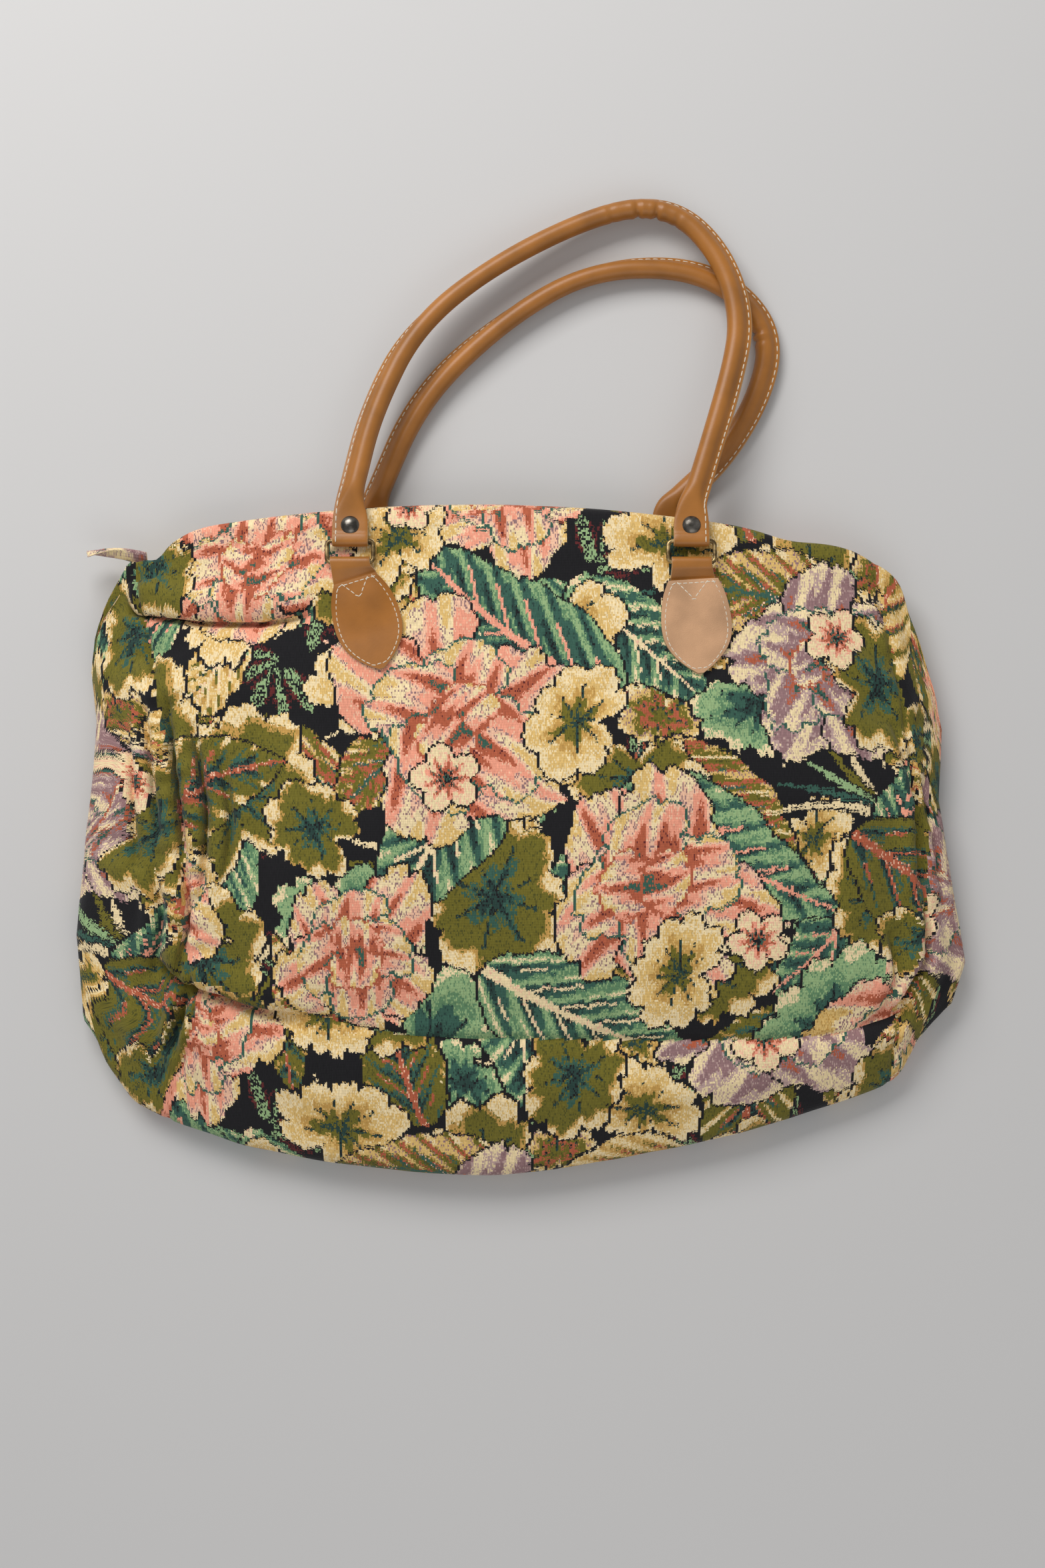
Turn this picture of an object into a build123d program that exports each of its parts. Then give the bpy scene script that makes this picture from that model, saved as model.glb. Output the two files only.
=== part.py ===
from build123d import *
import os
from math import atan, cos, degrees, exp, pi, radians, sin, sqrt, tan

os.makedirs("parts", exist_ok=True)

# The bag lies on its back: width along X, height along Y, depth along Z, floor at Z = 0
bag_width = 522.0
bag_height = 396.0
bag_depth = 54.0
cloth = 1.6
top_edge_radius = 960.0
top_edge_shift = -28.0
floor_dip = 1.0
fold_depth = 4.0
swell_height = 3.2
lip_pull_share = 0.5

# Clearances: between sewn pieces, round the ring wire, beside sliding metal, and the run-out of cuts
seam_gap = 0.2
laid_gap = 0.3
ring_clearance = 0.08
slide_clearance = 0.35
overrun = 10.0

# Zip along the top edge, set back behind the lips of the two panels
zip_setback = 9.0
zip_level = 20.6
zip_reach = 360.0
zip_tape = 0.8
zip_teeth_width = 2.1
zip_teeth_height = 2.6
zip_teeth_gap = 1.1
zip_window = 9.0
zip_opening = 10.6
stop_length = 3.0
slider_length = 12.0
slider_width = 8.0
slider_plate = 1.1
slider_web = 0.4
bail_length = 5.0
bail_width = 2.0
bail_height = 2.6
puller_pin = 1.2
puller_length = 22.0
puller_width = 6.0
puller_thickness = 1.2
tail_length = 26.0
tail_width = 9.0
tail_thickness = 3.2
tail_turns = (20.0, 55.0, 100.0)
tail_root_shares = (-0.885, 0.85)

# Handle hardware: rectangular wire rings, loops, shields and rivets
ring_wire = 2.5
ring_width = 29.5
ring_length = 15.0
leather = 2.0
ring_drop = 35.5
front_ring_places = (-100.0, 98.0)
back_ring_places = (-88.0, 86.0)
loop_width = 22.5
loop_skive = 1.2
loop_tuck = 8.0
eye_sides = 16
shield_length = 54.0
shield_width = 41.0
shield_top_width = 31.0
shield_thickness = 2.6
shield_setback = 10.5
front_shield_turns = (17.0, 4.0)
back_shield_turns = (0.0, 0.0)
rivet_post = 4.0
rivet_cap = 10.7
rivet_crown = 2.4
rivet_taper = 40.0
rivet_sides = 16
rivet_back_share = 0.75
rivet_place = 9.0

# Handles: rolled leather tubes with a sewn flange on the outer side
tube = 11.0
roll_sides = 10
flange_width = 3.6
flange_thickness = 2.8
strap_width = 21.0
strap_thickness = 5.0
strap_length = 15.0
strap_edge_share = 0.33
neck_sides = 8
bend_share = 0.45
crossing_reach = 170.5
front_reach = 202.0
back_reach = 165.5

half_turn = 180.0
half_width = bag_width / 2
half_height = bag_height / 2
top_edge_centre = half_height - top_edge_radius
ring_line = half_height - ring_drop
shield_top = ring_line - shield_setback
crossing_place = ring_line + crossing_reach

# One row for each station along the width: place, drop of the top corner below the arched top edge,
# bottom edge, bottom seam, crown, lip of the top edge, tuck of the top edge, lift of the back, fold
station_shares = (
    (-0.996, 0.330, -0.520, -0.300, 0.38, 0.34, 0.22, 0.18, 0.0),
    (-0.966, 0.140, -0.655, -0.350, 0.48, 0.37, 0.24, 0.11, 0.0),
    (-0.885, 0.030, -0.785, -0.400, 0.66, 0.46, 0.24, 0.03, 0.7),
    (-0.782, 0.000, -0.842, -0.420, 0.80, 0.52, 0.24, 0.00, 1.0),
    (-0.613, 0.000, -0.915, -0.475, 0.92, 0.52, 0.24, 0.00, 0.9),
    (-0.494, 0.000, -0.946, -0.510, 0.96, 0.52, 0.24, 0.00, 0.6),
    (-0.375, 0.000, -0.970, -0.540, 0.99, 0.52, 0.24, 0.00, 0.3),
    (-0.226, 0.000, -0.989, -0.558, 1.00, 0.52, 0.24, 0.00, 0.1),
    (-0.077, 0.000, -1.000, -0.570, 1.00, 0.52, 0.24, 0.00, 0.0),
    (0.056, 0.000, -0.982, -0.577, 1.00, 0.52, 0.24, 0.00, 0.0),
    (0.190, 0.000, -0.955, -0.580, 1.00, 0.52, 0.24, 0.00, 0.0),
    (0.375, 0.000, -0.908, -0.580, 0.98, 0.52, 0.24, 0.00, 0.0),
    (0.475, 0.000, -0.877, -0.578, 0.96, 0.52, 0.24, 0.00, 0.0),
    (0.575, 0.000, -0.842, -0.572, 0.92, 0.52, 0.24, 0.00, 0.0),
    (0.747, 0.000, -0.768, -0.555, 0.80, 0.52, 0.24, 0.00, 0.0),
    (0.858, 0.040, -0.715, -0.515, 0.66, 0.46, 0.24, 0.03, 0.0),
    (0.935, 0.160, -0.610, -0.450, 0.50, 0.39, 0.24, 0.10, 0.0),
    (0.985, 0.420, -0.480, -0.330, 0.38, 0.34, 0.22, 0.18, 0.0),
)
# Front of the bag from the top lip to the bottom seam: share of the way, share of the crown
front_shares = (
    (0.07, 0.61),
    (0.14, 0.69),
    (0.20, 0.75),
    (0.30, 0.84),
    (0.40, 0.92),
    (0.50, 0.97),
    (0.64, 0.99),
    (0.78, 0.96),
    (0.86, 0.89),
    (0.93, 0.80),
    (1.00, 0.67),
)
fold_row = 2
# Swells and hollows of the slack front: place across and up, reach across and up, share of the height
swell_shares = (
    (-0.230, 0.120, 0.125, 0.340, 1.0),
    (-0.145, -0.240, 0.095, 0.220, -1.2),
    (0.115, -0.190, 0.140, 0.240, 1.0),
    (0.050, 0.390, 0.105, 0.210, -1.1),
    (0.235, 0.310, 0.125, 0.230, 0.9),
    (0.400, -0.030, 0.115, 0.300, -1.1),
    (0.570, 0.060, 0.125, 0.300, 1.0),
    (-0.460, -0.110, 0.130, 0.300, 1.0),
    (-0.365, 0.270, 0.100, 0.190, -1.0),
    (-0.630, 0.140, 0.090, 0.330, -1.0),
    (0.700, -0.300, 0.100, 0.210, 0.8),
)
# Front of the base panel from the bottom seam to the bottom edge
base_shares = ((0.30, 0.69), (0.75, 0.50))
nose_share = 0.27
heel_share = 0.28
# Back of the bag: the flat that lies on the floor, and the rise over the back tabs
flat_shares = (0.12, 0.61)
rise_shares = ((0.35, 0.34), (0.53, 0.49), (0.77, 0.77))
# Side seams from top to bottom, as shares of half the width and half the height
left_seam_shares = (
    (-0.885, 1.10),
    (-0.866, 0.76),
    (-0.808, 0.42),
    (-0.747, -0.03),
    (-0.728, -0.42),
    (-0.800, -0.83),
    (-0.830, -1.10),
)
right_seam_shares = (
    (0.760, 1.10),
    (0.800, 0.72),
    (0.860, 0.39),
    (0.912, 0.05),
    (0.885, -0.35),
    (0.835, -0.74),
    (0.820, -1.10),
)


def top_edge(x):
    """Height of the arched top edge at x."""
    return top_edge_centre + sqrt(top_edge_radius**2 - (x - top_edge_shift) ** 2)


def swell(x, y):
    """Rise or dip of the slack cloth at a place on the front."""
    total = 0.0
    for place_x, place_y, reach_x, reach_y, height in swell_shares:
        across = (x / half_width - place_x) / reach_x
        up = (y / half_height - place_y) / reach_y
        total += height * swell_height * exp(-(across**2) - up**2)
    return total


def draw_section(x, shares, inset):
    """Closed outline of the bag across its width at x, drawn in by inset."""
    corner, bottom, seam, crown, lip, tuck, lift, fold = shares
    top_y = top_edge(x) - corner * half_height
    seam_y = seam * half_height
    bottom_y = bottom * half_height
    crown_z = crown * bag_depth
    lift_z = lift * bag_depth
    front = [(top_y - inset, lip * bag_depth - inset)]
    for row, (way, height) in enumerate(front_shares):
        crease = fold * fold_depth if row == fold_row else 0
        y = top_y + (seam_y - top_y) * way
        rise = lift_z + (crown_z - lift_z) * height + swell(x, y)
        front.append((y, rise - crease - inset))
    for way, height in base_shares:
        rise = lift_z + (crown_z - lift_z) * height
        front.append((seam_y + (bottom_y - seam_y) * way, rise - inset))
    nose = (bottom_y + inset, lift_z + (crown_z - lift_z) * nose_share)
    floor_z = lift_z + inset if inset else lift_z - floor_dip
    flat_low, flat_high = ((bottom_y + (top_y - bottom_y) * share, floor_z) for share in flat_shares)
    tuck_point = (top_y - inset, tuck * bag_depth + inset)
    rise = [flat_high]
    for way, height in rise_shares:
        y = flat_high[0] + (tuck_point[0] - flat_high[0]) * way
        rise.append((y, floor_z + (tuck_point[1] - floor_z) * height))
    with BuildSketch(Plane.YZ.offset(x)) as section:
        with BuildLine():
            if inset:
                heel_y = nose[0] + (flat_low[0] - nose[0]) * heel_share
                heel_z = flat_low[1] + (nose[1] - flat_low[1]) * heel_share
                Polyline(*front, nose, (heel_y, heel_z), flat_low, *rise, tuck_point, close=True)
            else:
                Spline(*front, nose, tangents=((-1, 1), (0, -1)), tangent_scalars=(lip_pull_share, 1))
                Spline(nose, flat_low, tangents=((0, -1), (1, 0)))
                Line(flat_low, flat_high)
                Spline(*rise, tuck_point)
                Line(tuck_point, front[0])
        make_face()
    return section.sketch


def bag_form(inset):
    """The whole bag as one solid, or its inside when inset by the cloth."""
    last = len(station_shares) - 1
    sections = []
    for number, (place, *shares) in enumerate(station_shares):
        end_inset = inset if number == 0 else -inset if number == last else 0
        sections.append(draw_section(place * half_width + end_inset, shares, inset))
    with BuildPart() as form:
        loft(sections, ruled=True)
    return form.part


outer_form = bag_form(0)
inner_form = bag_form(cloth)

with BuildPart() as shell:
    add(outer_form)
    add(inner_form, mode=Mode.SUBTRACT)
    split(bisect_by=Plane.XY, keep=Keep.TOP)


def side_region(seam_shares, side, gap):
    """Everything beyond a side seam, widened by gap."""
    points = [(x * half_width - side * gap, y * half_height) for x, y in seam_shares]
    far = side * (half_width + overrun)
    with BuildPart() as region:
        with BuildSketch(Plane.XY.offset(-overrun)):
            with BuildLine():
                Spline(*points)
                Polyline(points[-1], (far, points[-1][1]), (far, points[0][1]), points[0])
            make_face()
        extrude(amount=bag_depth + 2 * overrun)
    return region.part


def base_region(gap):
    """Everything below the bottom seam, widened by gap."""
    points = [(row[0] * half_width, row[3] * half_height + gap) for row in station_shares]
    points[0] = (points[0][0] - overrun, points[0][1])
    points[-1] = (points[-1][0] + overrun, points[-1][1])
    low = -half_height - overrun
    with BuildPart() as region:
        with BuildSketch(Plane.XY.offset(-overrun)):
            with BuildLine():
                Spline(*points)
                Polyline(points[-1], (points[-1][0], low), (points[0][0], low), points[0])
            make_face()
        extrude(amount=bag_depth + 2 * overrun)
    return region.part


def zip_band(inner, outer, left_x, right_x, low, high):
    """A band of the zip: an arc strip between two radii and two places, from low to high."""
    centre = Vector(top_edge_shift, top_edge_centre)
    left_angle = degrees(atan((top_edge_shift - left_x) / top_edge_radius))
    right_angle = degrees(atan((top_edge_shift - right_x) / top_edge_radius))
    with BuildPart() as band:
        with BuildSketch(Plane.XY.offset(low)):
            with BuildLine():
                low_arc = CenterArc(centre, inner, 90 + right_angle, left_angle - right_angle)
                high_arc = CenterArc(centre, outer, 90 + right_angle, left_angle - right_angle)
                Line(low_arc @ 0, high_arc @ 0)
                Line(low_arc @ 1, high_arc @ 1)
            make_face()
        extrude(amount=high - low)
    return band.part


left_side = side_region(left_seam_shares, -1, 0)
right_side = side_region(right_seam_shares, 1, 0)
left_cut = side_region(left_seam_shares, -1, seam_gap)
right_cut = side_region(right_seam_shares, 1, seam_gap)
base = base_region(0)
base_cut = base_region(seam_gap)


def keep(builder, name):
    """Name a finished piece and write it out."""
    builder.part.label = name
    export_step(builder.part, f"parts/{name}.step")


# Cloth panels, cut from the shell along the seams
with BuildPart() as left_side_panel:
    add(shell.part)
    add(left_side, mode=Mode.INTERSECT)
keep(left_side_panel, "left_side_panel")

with BuildPart() as right_side_panel:
    add(shell.part)
    add(right_side, mode=Mode.INTERSECT)
keep(right_side_panel, "right_side_panel")

with BuildPart() as base_panel:
    add(shell.part)
    add(base, mode=Mode.INTERSECT)
    add(left_cut, mode=Mode.SUBTRACT)
    add(right_cut, mode=Mode.SUBTRACT)
keep(base_panel, "base_panel")

zip_slot = zip_band(
    top_edge_radius - zip_setback,
    top_edge_radius + overrun,
    -half_width,
    half_width,
    zip_level - zip_opening / 2,
    zip_level + zip_opening / 2,
)
with BuildPart() as front_panel:
    add(shell.part)
    add((left_cut, right_cut, base_cut, zip_slot), mode=Mode.SUBTRACT)
    split(bisect_by=Plane.XY.offset(zip_level), keep=Keep.TOP)
keep(front_panel, "front_panel")

with BuildPart() as back_panel:
    add(shell.part)
    add((left_cut, right_cut, base_cut, zip_slot), mode=Mode.SUBTRACT)
    split(bisect_by=Plane.XY.offset(zip_level), keep=Keep.BOTTOM)
keep(back_panel, "back_panel")

# Zip: facings, tapes, the two rows of teeth, stops, slider and puller, all on arcs below the top edge
zip_radius = top_edge_radius - zip_setback
tape_face = zip_radius + zip_tape / 2
teeth_face = zip_radius + zip_teeth_height / 2
teeth_foot = zip_radius - zip_teeth_height / 2
zip_left = top_edge_shift - zip_reach / 2
zip_right = top_edge_shift + zip_reach / 2
teeth_edge = zip_teeth_gap / 2 + zip_teeth_width

for side, sign in (("front", 1), ("back", -1)):
    window_edge = zip_level + sign * zip_window / 2
    tape_edge = zip_level + sign * (teeth_edge + seam_gap)
    far_edge = zip_level + sign * bag_depth / 2
    facing_levels = sorted((window_edge, far_edge))
    tape_levels = sorted((tape_edge, far_edge))
    teeth_levels = sorted((zip_level + sign * zip_teeth_gap / 2, zip_level + sign * teeth_edge))
    facing_foot = tape_face + seam_gap

    with BuildPart() as zip_facing:
        add(zip_band(facing_foot, facing_foot + cloth, zip_left, zip_right, *facing_levels))
        add(inner_form, mode=Mode.INTERSECT)
    keep(zip_facing, f"{side}_zip_facing")

    with BuildPart() as zip_side_tape:
        add(zip_band(zip_radius - zip_tape / 2, tape_face, zip_left, zip_right, *tape_levels))
        add(inner_form, mode=Mode.INTERSECT)
    keep(zip_side_tape, f"{side}_zip_tape")

    with BuildPart() as zip_teeth:
        add(zip_band(teeth_foot, teeth_face, zip_left + stop_length, zip_right - stop_length, *teeth_levels))
    keep(zip_teeth, f"{side}_zip_teeth")

stop_levels = (zip_level - teeth_edge, zip_level + teeth_edge)
with BuildPart() as zip_end_stops:
    add(zip_band(teeth_foot, teeth_face, zip_left, zip_left + stop_length - seam_gap, *stop_levels))
    add(zip_band(teeth_foot, teeth_face, zip_right - stop_length + seam_gap, zip_right, *stop_levels))
keep(zip_end_stops, "zip_end_stops")

slider_right = zip_right - stop_length - slide_clearance
slider_left = slider_right - slider_length
slider_middle = slider_right - slider_length / 2
plate_foot = teeth_face + slide_clearance
plate_face = plate_foot + slider_plate
under_face = teeth_foot - slide_clearance
slider_levels = (zip_level - slider_width / 2, zip_level + slider_width / 2)
web_levels = (zip_level - slider_web / 2, zip_level + slider_web / 2)
bail_levels = (zip_level - bail_width / 2, zip_level + bail_width / 2)
slider_angle = atan((slider_middle - top_edge_shift) / top_edge_radius)
outward = Vector(sin(slider_angle), cos(slider_angle), 0)
along = Vector(-cos(slider_angle), sin(slider_angle), 0)
zip_centre = Vector(top_edge_shift, top_edge_centre, zip_level)
pin_centre = zip_centre + outward * (plate_face + bail_height / 2)

with BuildPart() as zip_slider:
    add(zip_band(plate_foot, plate_face, slider_left, slider_right, *slider_levels))
    add(zip_band(under_face - slider_plate, under_face, slider_left, slider_right, *slider_levels))
    add(zip_band(under_face, plate_foot, slider_middle, slider_right, *web_levels))
    bail_left = slider_middle - bail_length / 2
    add(zip_band(plate_face, plate_face + bail_height, bail_left, bail_left + bail_length, *bail_levels))
    with BuildSketch(Plane(origin=pin_centre - Vector(0, 0, bail_width), z_dir=(0, 0, 1))):
        Circle(puller_pin / 2 + ring_clearance)
    extrude(amount=2 * bail_width, mode=Mode.SUBTRACT)
keep(zip_slider, "zip_slider")

fork_gap = bail_width + 2 * slide_clearance
with BuildPart() as zip_puller:
    with BuildSketch(Plane(origin=pin_centre, x_dir=along, z_dir=outward)):
        with Locations((puller_length / 2 - puller_pin / 2, 0)):
            Rectangle(puller_length, puller_width)
        with Locations((0, 0)):
            Rectangle(2 * bail_length, fork_gap, mode=Mode.SUBTRACT)
    extrude(amount=puller_thickness / 2, both=True)
    with BuildSketch(Plane(origin=pin_centre, z_dir=(0, 0, 1))):
        Circle(puller_pin / 2)
    extrude(amount=puller_width / 2, both=True)
keep(zip_puller, "zip_puller")

# The folded and twisted cloth tail that closes the zip's end at the upper left corner
tail_level = zip_level - tail_thickness / 2
with BuildPart() as zip_end_tab:
    for number, turn in enumerate(tail_turns):
        reach = number * tail_length / (len(tail_turns) - 1)
        origin = (tail_root_shares[0] * half_width - reach, tail_root_shares[1] * half_height, tail_level)
        with BuildSketch(Plane(origin=origin, x_dir=(0, cos(radians(turn)), sin(radians(turn))), z_dir=(-1, 0, 0))):
            Rectangle(tail_width, tail_thickness)
    loft(ruled=True)
    add(outer_form.moved(Location((-laid_gap, 0, 0))), mode=Mode.SUBTRACT)
keep(zip_end_tab, "zip_end_tab")


def cloth_heights(x, y):
    """Lowest and highest point of the cloth at a place."""
    line = Axis((x, y, 0), (0, 0, 1))
    heights = [hit[0].Z for face in outer_form.faces() for hit in face.find_intersection_points(line)]
    return min(heights), max(heights)


# Handle hardware hangs on two axes along X: the tab bar and, one ring further, the handle bar
wire_radius = ring_wire / 2
bore_radius = wire_radius + ring_clearance
eye_radius = bore_radius + leather
bore_corner = bore_radius / cos(pi / eye_sides)
ring_pitch = ring_length - ring_wire
front_axis_level = max(cloth_heights(x, ring_line)[1] for x in front_ring_places) + laid_gap + eye_radius
crossing_level = tube / 2 + tube + 2 * laid_gap
front_tilt = atan((front_axis_level - crossing_level) / (crossing_place - ring_line))
front_plane = Plane((0, ring_line, front_axis_level), (1, 0, 0), (0, sin(front_tilt), cos(front_tilt)))
back_plane = Plane((0, ring_line, tube / 2), (1, 0, 0), (0, 0, 1))


def shield_block(x, turn, low, high):
    """Leaf outline of a shield that hangs from its ring, turned about it, as a tall block."""
    reach = shield_setback + shield_length / 2
    across = Vector(cos(radians(turn)), sin(radians(turn)), 0)
    middle = Vector(x + reach * across.Y, ring_line - reach * across.X, low)
    with BuildPart() as block:
        with BuildSketch(Plane(middle, across, (0, 0, 1))):
            with BuildLine():
                top_left = (-shield_top_width / 2, shield_length / 2)
                top_right = (shield_top_width / 2, shield_length / 2)
                tip = (0, -shield_length / 2)
                Line(top_left, top_right)
                ThreePointArc(top_right, (shield_width / 2, 0), tip)
                ThreePointArc(tip, (-shield_width / 2, 0), top_left)
            make_face()
        extrude(amount=high - low)
    return block.part


def loop_block(x, axis_level, sign, room):
    """Leather loop round the ring's tab bar with its skived end under the shield, grown by room."""
    end_y = shield_top - loop_tuck
    low, high = cloth_heights(x, end_y)
    seat = high if sign > 0 else low
    end_level = seat + sign * (laid_gap + loop_skive + room)
    sunk_level = seat - sign * leather
    with BuildPart() as block:
        with BuildSketch(Plane.YZ.offset(x - loop_width / 2 - room)):
            with Locations((ring_line, axis_level)):
                RegularPolygon(eye_radius, eye_sides)
            with BuildLine():
                Polyline(
                    (ring_line, axis_level + sign * (eye_radius + room)),
                    (end_y - room, end_level),
                    (end_y - room, sunk_level),
                    (ring_line, axis_level - sign * eye_radius),
                    close=True,
                )
            make_face()
            with Locations((ring_line, axis_level)):
                RegularPolygon(bore_corner, eye_sides, mode=Mode.SUBTRACT)
        extrude(amount=loop_width + 2 * room)
    return block.part


def ring(plane, x):
    """Rectangular ring of round wire with its tab bar on the plane's origin line."""
    half = (ring_width - ring_wire) / 2
    with BuildPart() as piece:
        with BuildLine(plane) as route:
            Polyline(
                (x - half, ring_pitch / 2),
                (x - half, ring_pitch),
                (x + half, ring_pitch),
                (x + half, 0),
                (x - half, 0),
                close=True,
            )
        with BuildSketch(Plane(route.line @ 0, z_dir=plane.y_dir)):
            RegularPolygon(wire_radius, roll_sides)
        sweep(path=route.line, transition=Transition.RIGHT)
    return piece


def corner_radii(points):
    """Bend at each corner of a handle, as wide as the runs beside it allow."""
    radii = []
    for before, corner, after in zip(points, points[1:], points[2:]):
        first = Vector(corner) - Vector(before)
        second = Vector(after) - Vector(corner)
        run = min(first.length, second.length)
        radii.append(bend_share * run / tan(radians(first.get_angle(second)) / 2))
    return radii


def handle(plane, ring_places, route_shares, reach):
    """Rolled handle: a swept tube with its flange, and at each end a flat strap round the handle bar."""
    left, right = ring_places
    middle = (left + right) / 2
    half = (right - left) / 2
    points = [(middle + half * x, ring_pitch + reach * y) for x, y in route_shares]
    flange_root = tube / 4
    flange_edge = tube / 2 + flange_width
    with BuildPart() as piece:
        with BuildLine(plane) as route:
            FilletPolyline(*points, radius=corner_radii(points))
        line = route.line
        start = line % 0
        with BuildSketch(Plane(line @ 0, x_dir=plane.z_dir.cross(start), z_dir=start)):
            RegularPolygon(tube / 2, roll_sides)
            with Locations(((flange_root + flange_edge) / 2, 0)):
                Rectangle(flange_edge - flange_root, flange_thickness)
        sweep(path=line)
        for ring_x, end, run in ((left, line @ 0, start), (right, line @ 1, (line % 1) * -1)):
            neck = plane.from_local_coords((ring_x, ring_pitch + strap_length, 0))
            with BuildSketch(Plane(neck, x_dir=plane.x_dir, z_dir=plane.y_dir)):
                flat = Rectangle(strap_width, strap_thickness)
                chamfer(flat.vertices(), strap_thickness * strap_edge_share)
            with BuildSketch(Plane(end, x_dir=plane.z_dir.cross(run) * -1, z_dir=run)):
                RegularPolygon(tube / 2, neck_sides, rotation=half_turn / neck_sides)
            loft(ruled=True)
            edge = plane.from_local_coords((ring_x - strap_width / 2, ring_pitch, 0))
            with BuildSketch(Plane(edge, x_dir=plane.y_dir, z_dir=plane.x_dir)):
                RegularPolygon(eye_radius, eye_sides)
                with Locations((strap_length / 2, 0)):
                    Rectangle(strap_length, strap_thickness)
                RegularPolygon(bore_corner, eye_sides, mode=Mode.SUBTRACT)
            extrude(amount=strap_width)
            with BuildSketch(plane):
                with Locations((ring_x, ring_pitch + rivet_place)):
                    Circle(rivet_post / 2 + ring_clearance)
            extrude(amount=strap_thickness, both=True, mode=Mode.SUBTRACT)
    return piece


def rivets(plane, ring_places, sign):
    """Domed rivets through the two straps of a handle, domes towards the side given by sign."""
    face = strap_thickness / 2 + seam_gap / 2
    cap = rivet_cap / 2
    with BuildPart() as piece:
        for ring_x in ring_places:
            spot = (ring_x, ring_pitch + rivet_place)
            with BuildSketch(plane.offset(sign * face)):
                with Locations(spot):
                    RegularPolygon(cap, rivet_sides)
            extrude(amount=sign * rivet_crown, taper=rivet_taper)
            with BuildSketch(plane.offset(-sign * face)):
                with Locations(spot):
                    RegularPolygon(cap * rivet_back_share, rivet_sides)
            extrude(amount=-sign * rivet_crown / 2)
            with BuildSketch(plane.offset(-face)):
                with Locations(spot):
                    RegularPolygon(rivet_post / 2, roll_sides)
            extrude(amount=2 * face)
    return piece


front_route_shares = (
    (-0.975, 0.158),
    (-0.869, 0.381),
    (-0.616, 0.644),
    (-0.111, 0.842),
    (0.556, 1.000),
    (0.919, 1.000),
    (1.182, 0.854),
    (1.298, 0.673),
    (1.247, 0.510),
    (1.040, 0.178),
)
back_route_shares = (
    (-0.977, 0.169),
    (-0.678, 0.532),
    (-0.103, 0.816),
    (0.471, 0.988),
    (1.103, 1.000),
    (1.506, 0.900),
    (1.701, 0.737),
    (1.598, 0.520),
    (1.333, 0.308),
    (1.046, 0.172),
    (1.011, 0.127),
)
ends = ("left", "right")
sides = (
    ("front", 1, front_plane, front_ring_places, front_shield_turns, front_route_shares, front_reach),
    ("back", -1, back_plane, back_ring_places, back_shield_turns, back_route_shares, back_reach),
)
for side, sign, plane, ring_places, turns, route_shares, reach in sides:
    near_cloth = outer_form.moved(Location((0, 0, sign * laid_gap)))
    far_cloth = outer_form.moved(Location((0, 0, sign * (laid_gap + shield_thickness))))
    axis_level = plane.origin.Z
    half_levels = sorted((zip_level, zip_level + sign * bag_depth))
    for end, ring_x, turn in zip(ends, ring_places, turns):
        with BuildPart() as tab_loop:
            add(loop_block(ring_x, axis_level, sign, 0))
            add(near_cloth, mode=Mode.SUBTRACT)
        keep(tab_loop, f"{side}_{end}_tab_loop")

        with BuildPart() as tab_shield:
            add(shield_block(ring_x, turn, *half_levels))
            add(far_cloth, mode=Mode.INTERSECT)
            add(near_cloth, mode=Mode.SUBTRACT)
            add(loop_block(ring_x, axis_level, sign, seam_gap), mode=Mode.SUBTRACT)
        keep(tab_shield, f"{side}_{end}_tab_shield")

        keep(ring(plane, ring_x), f"{side}_{end}_ring")

    keep(handle(plane, ring_places, route_shares, reach), f"{side}_handle")
    keep(rivets(plane, ring_places, sign), f"{side}_handle_rivets")
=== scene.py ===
import math

import bmesh
import bpy
import numpy as np
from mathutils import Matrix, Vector
from mathutils.bvhtree import BVHTree

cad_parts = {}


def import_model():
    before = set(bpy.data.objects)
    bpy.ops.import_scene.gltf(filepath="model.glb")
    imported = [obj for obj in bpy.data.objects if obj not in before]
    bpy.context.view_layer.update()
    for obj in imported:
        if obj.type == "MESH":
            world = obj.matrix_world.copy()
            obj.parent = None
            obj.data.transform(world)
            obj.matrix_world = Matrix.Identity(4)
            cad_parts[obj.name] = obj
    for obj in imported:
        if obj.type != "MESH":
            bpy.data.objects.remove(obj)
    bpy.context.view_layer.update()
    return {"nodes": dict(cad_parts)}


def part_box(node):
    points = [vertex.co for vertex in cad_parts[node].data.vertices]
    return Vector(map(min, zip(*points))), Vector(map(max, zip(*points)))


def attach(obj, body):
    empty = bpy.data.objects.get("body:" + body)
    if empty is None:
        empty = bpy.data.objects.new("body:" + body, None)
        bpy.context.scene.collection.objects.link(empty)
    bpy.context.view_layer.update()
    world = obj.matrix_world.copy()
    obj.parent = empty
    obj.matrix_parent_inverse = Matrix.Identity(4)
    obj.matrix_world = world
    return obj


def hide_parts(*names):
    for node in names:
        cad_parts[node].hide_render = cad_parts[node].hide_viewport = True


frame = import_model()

# Tapestry cloth: a jacquard weave of matte cotton yarns, its flowers and leaves built up stitch by stitch
# on a black ground. Each stitch is one block of yarn, and some are flecked with a second yarn. The loom
# repeats the figure, so it is woven here once as a repeat, and every panel is cut from it.
STITCH = 0.0016
REPEAT_COLUMNS = 400
REPEAT_ROWS = 350
YARNS = {
    "black": (28, 27, 29),
    "burgundy": (98, 40, 40),
    "rust": (180, 94, 66),
    "salmon": (240, 160, 132),
    "blush": (242, 192, 160),
    "cream": (242, 218, 170),
    "gold": (224, 186, 114),
    "ochre": (198, 154, 82),
    "olive": (112, 104, 38),
    "moss": (84, 82, 34),
    "teal": (58, 94, 80),
    "pine": (42, 66, 60),
    "sage": (150, 178, 126),
    "fern": (100, 138, 100),
    "mauve": (150, 116, 116),
    "lilac": (190, 160, 152),
}
YARN_NAMES = list(YARNS)
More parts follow.
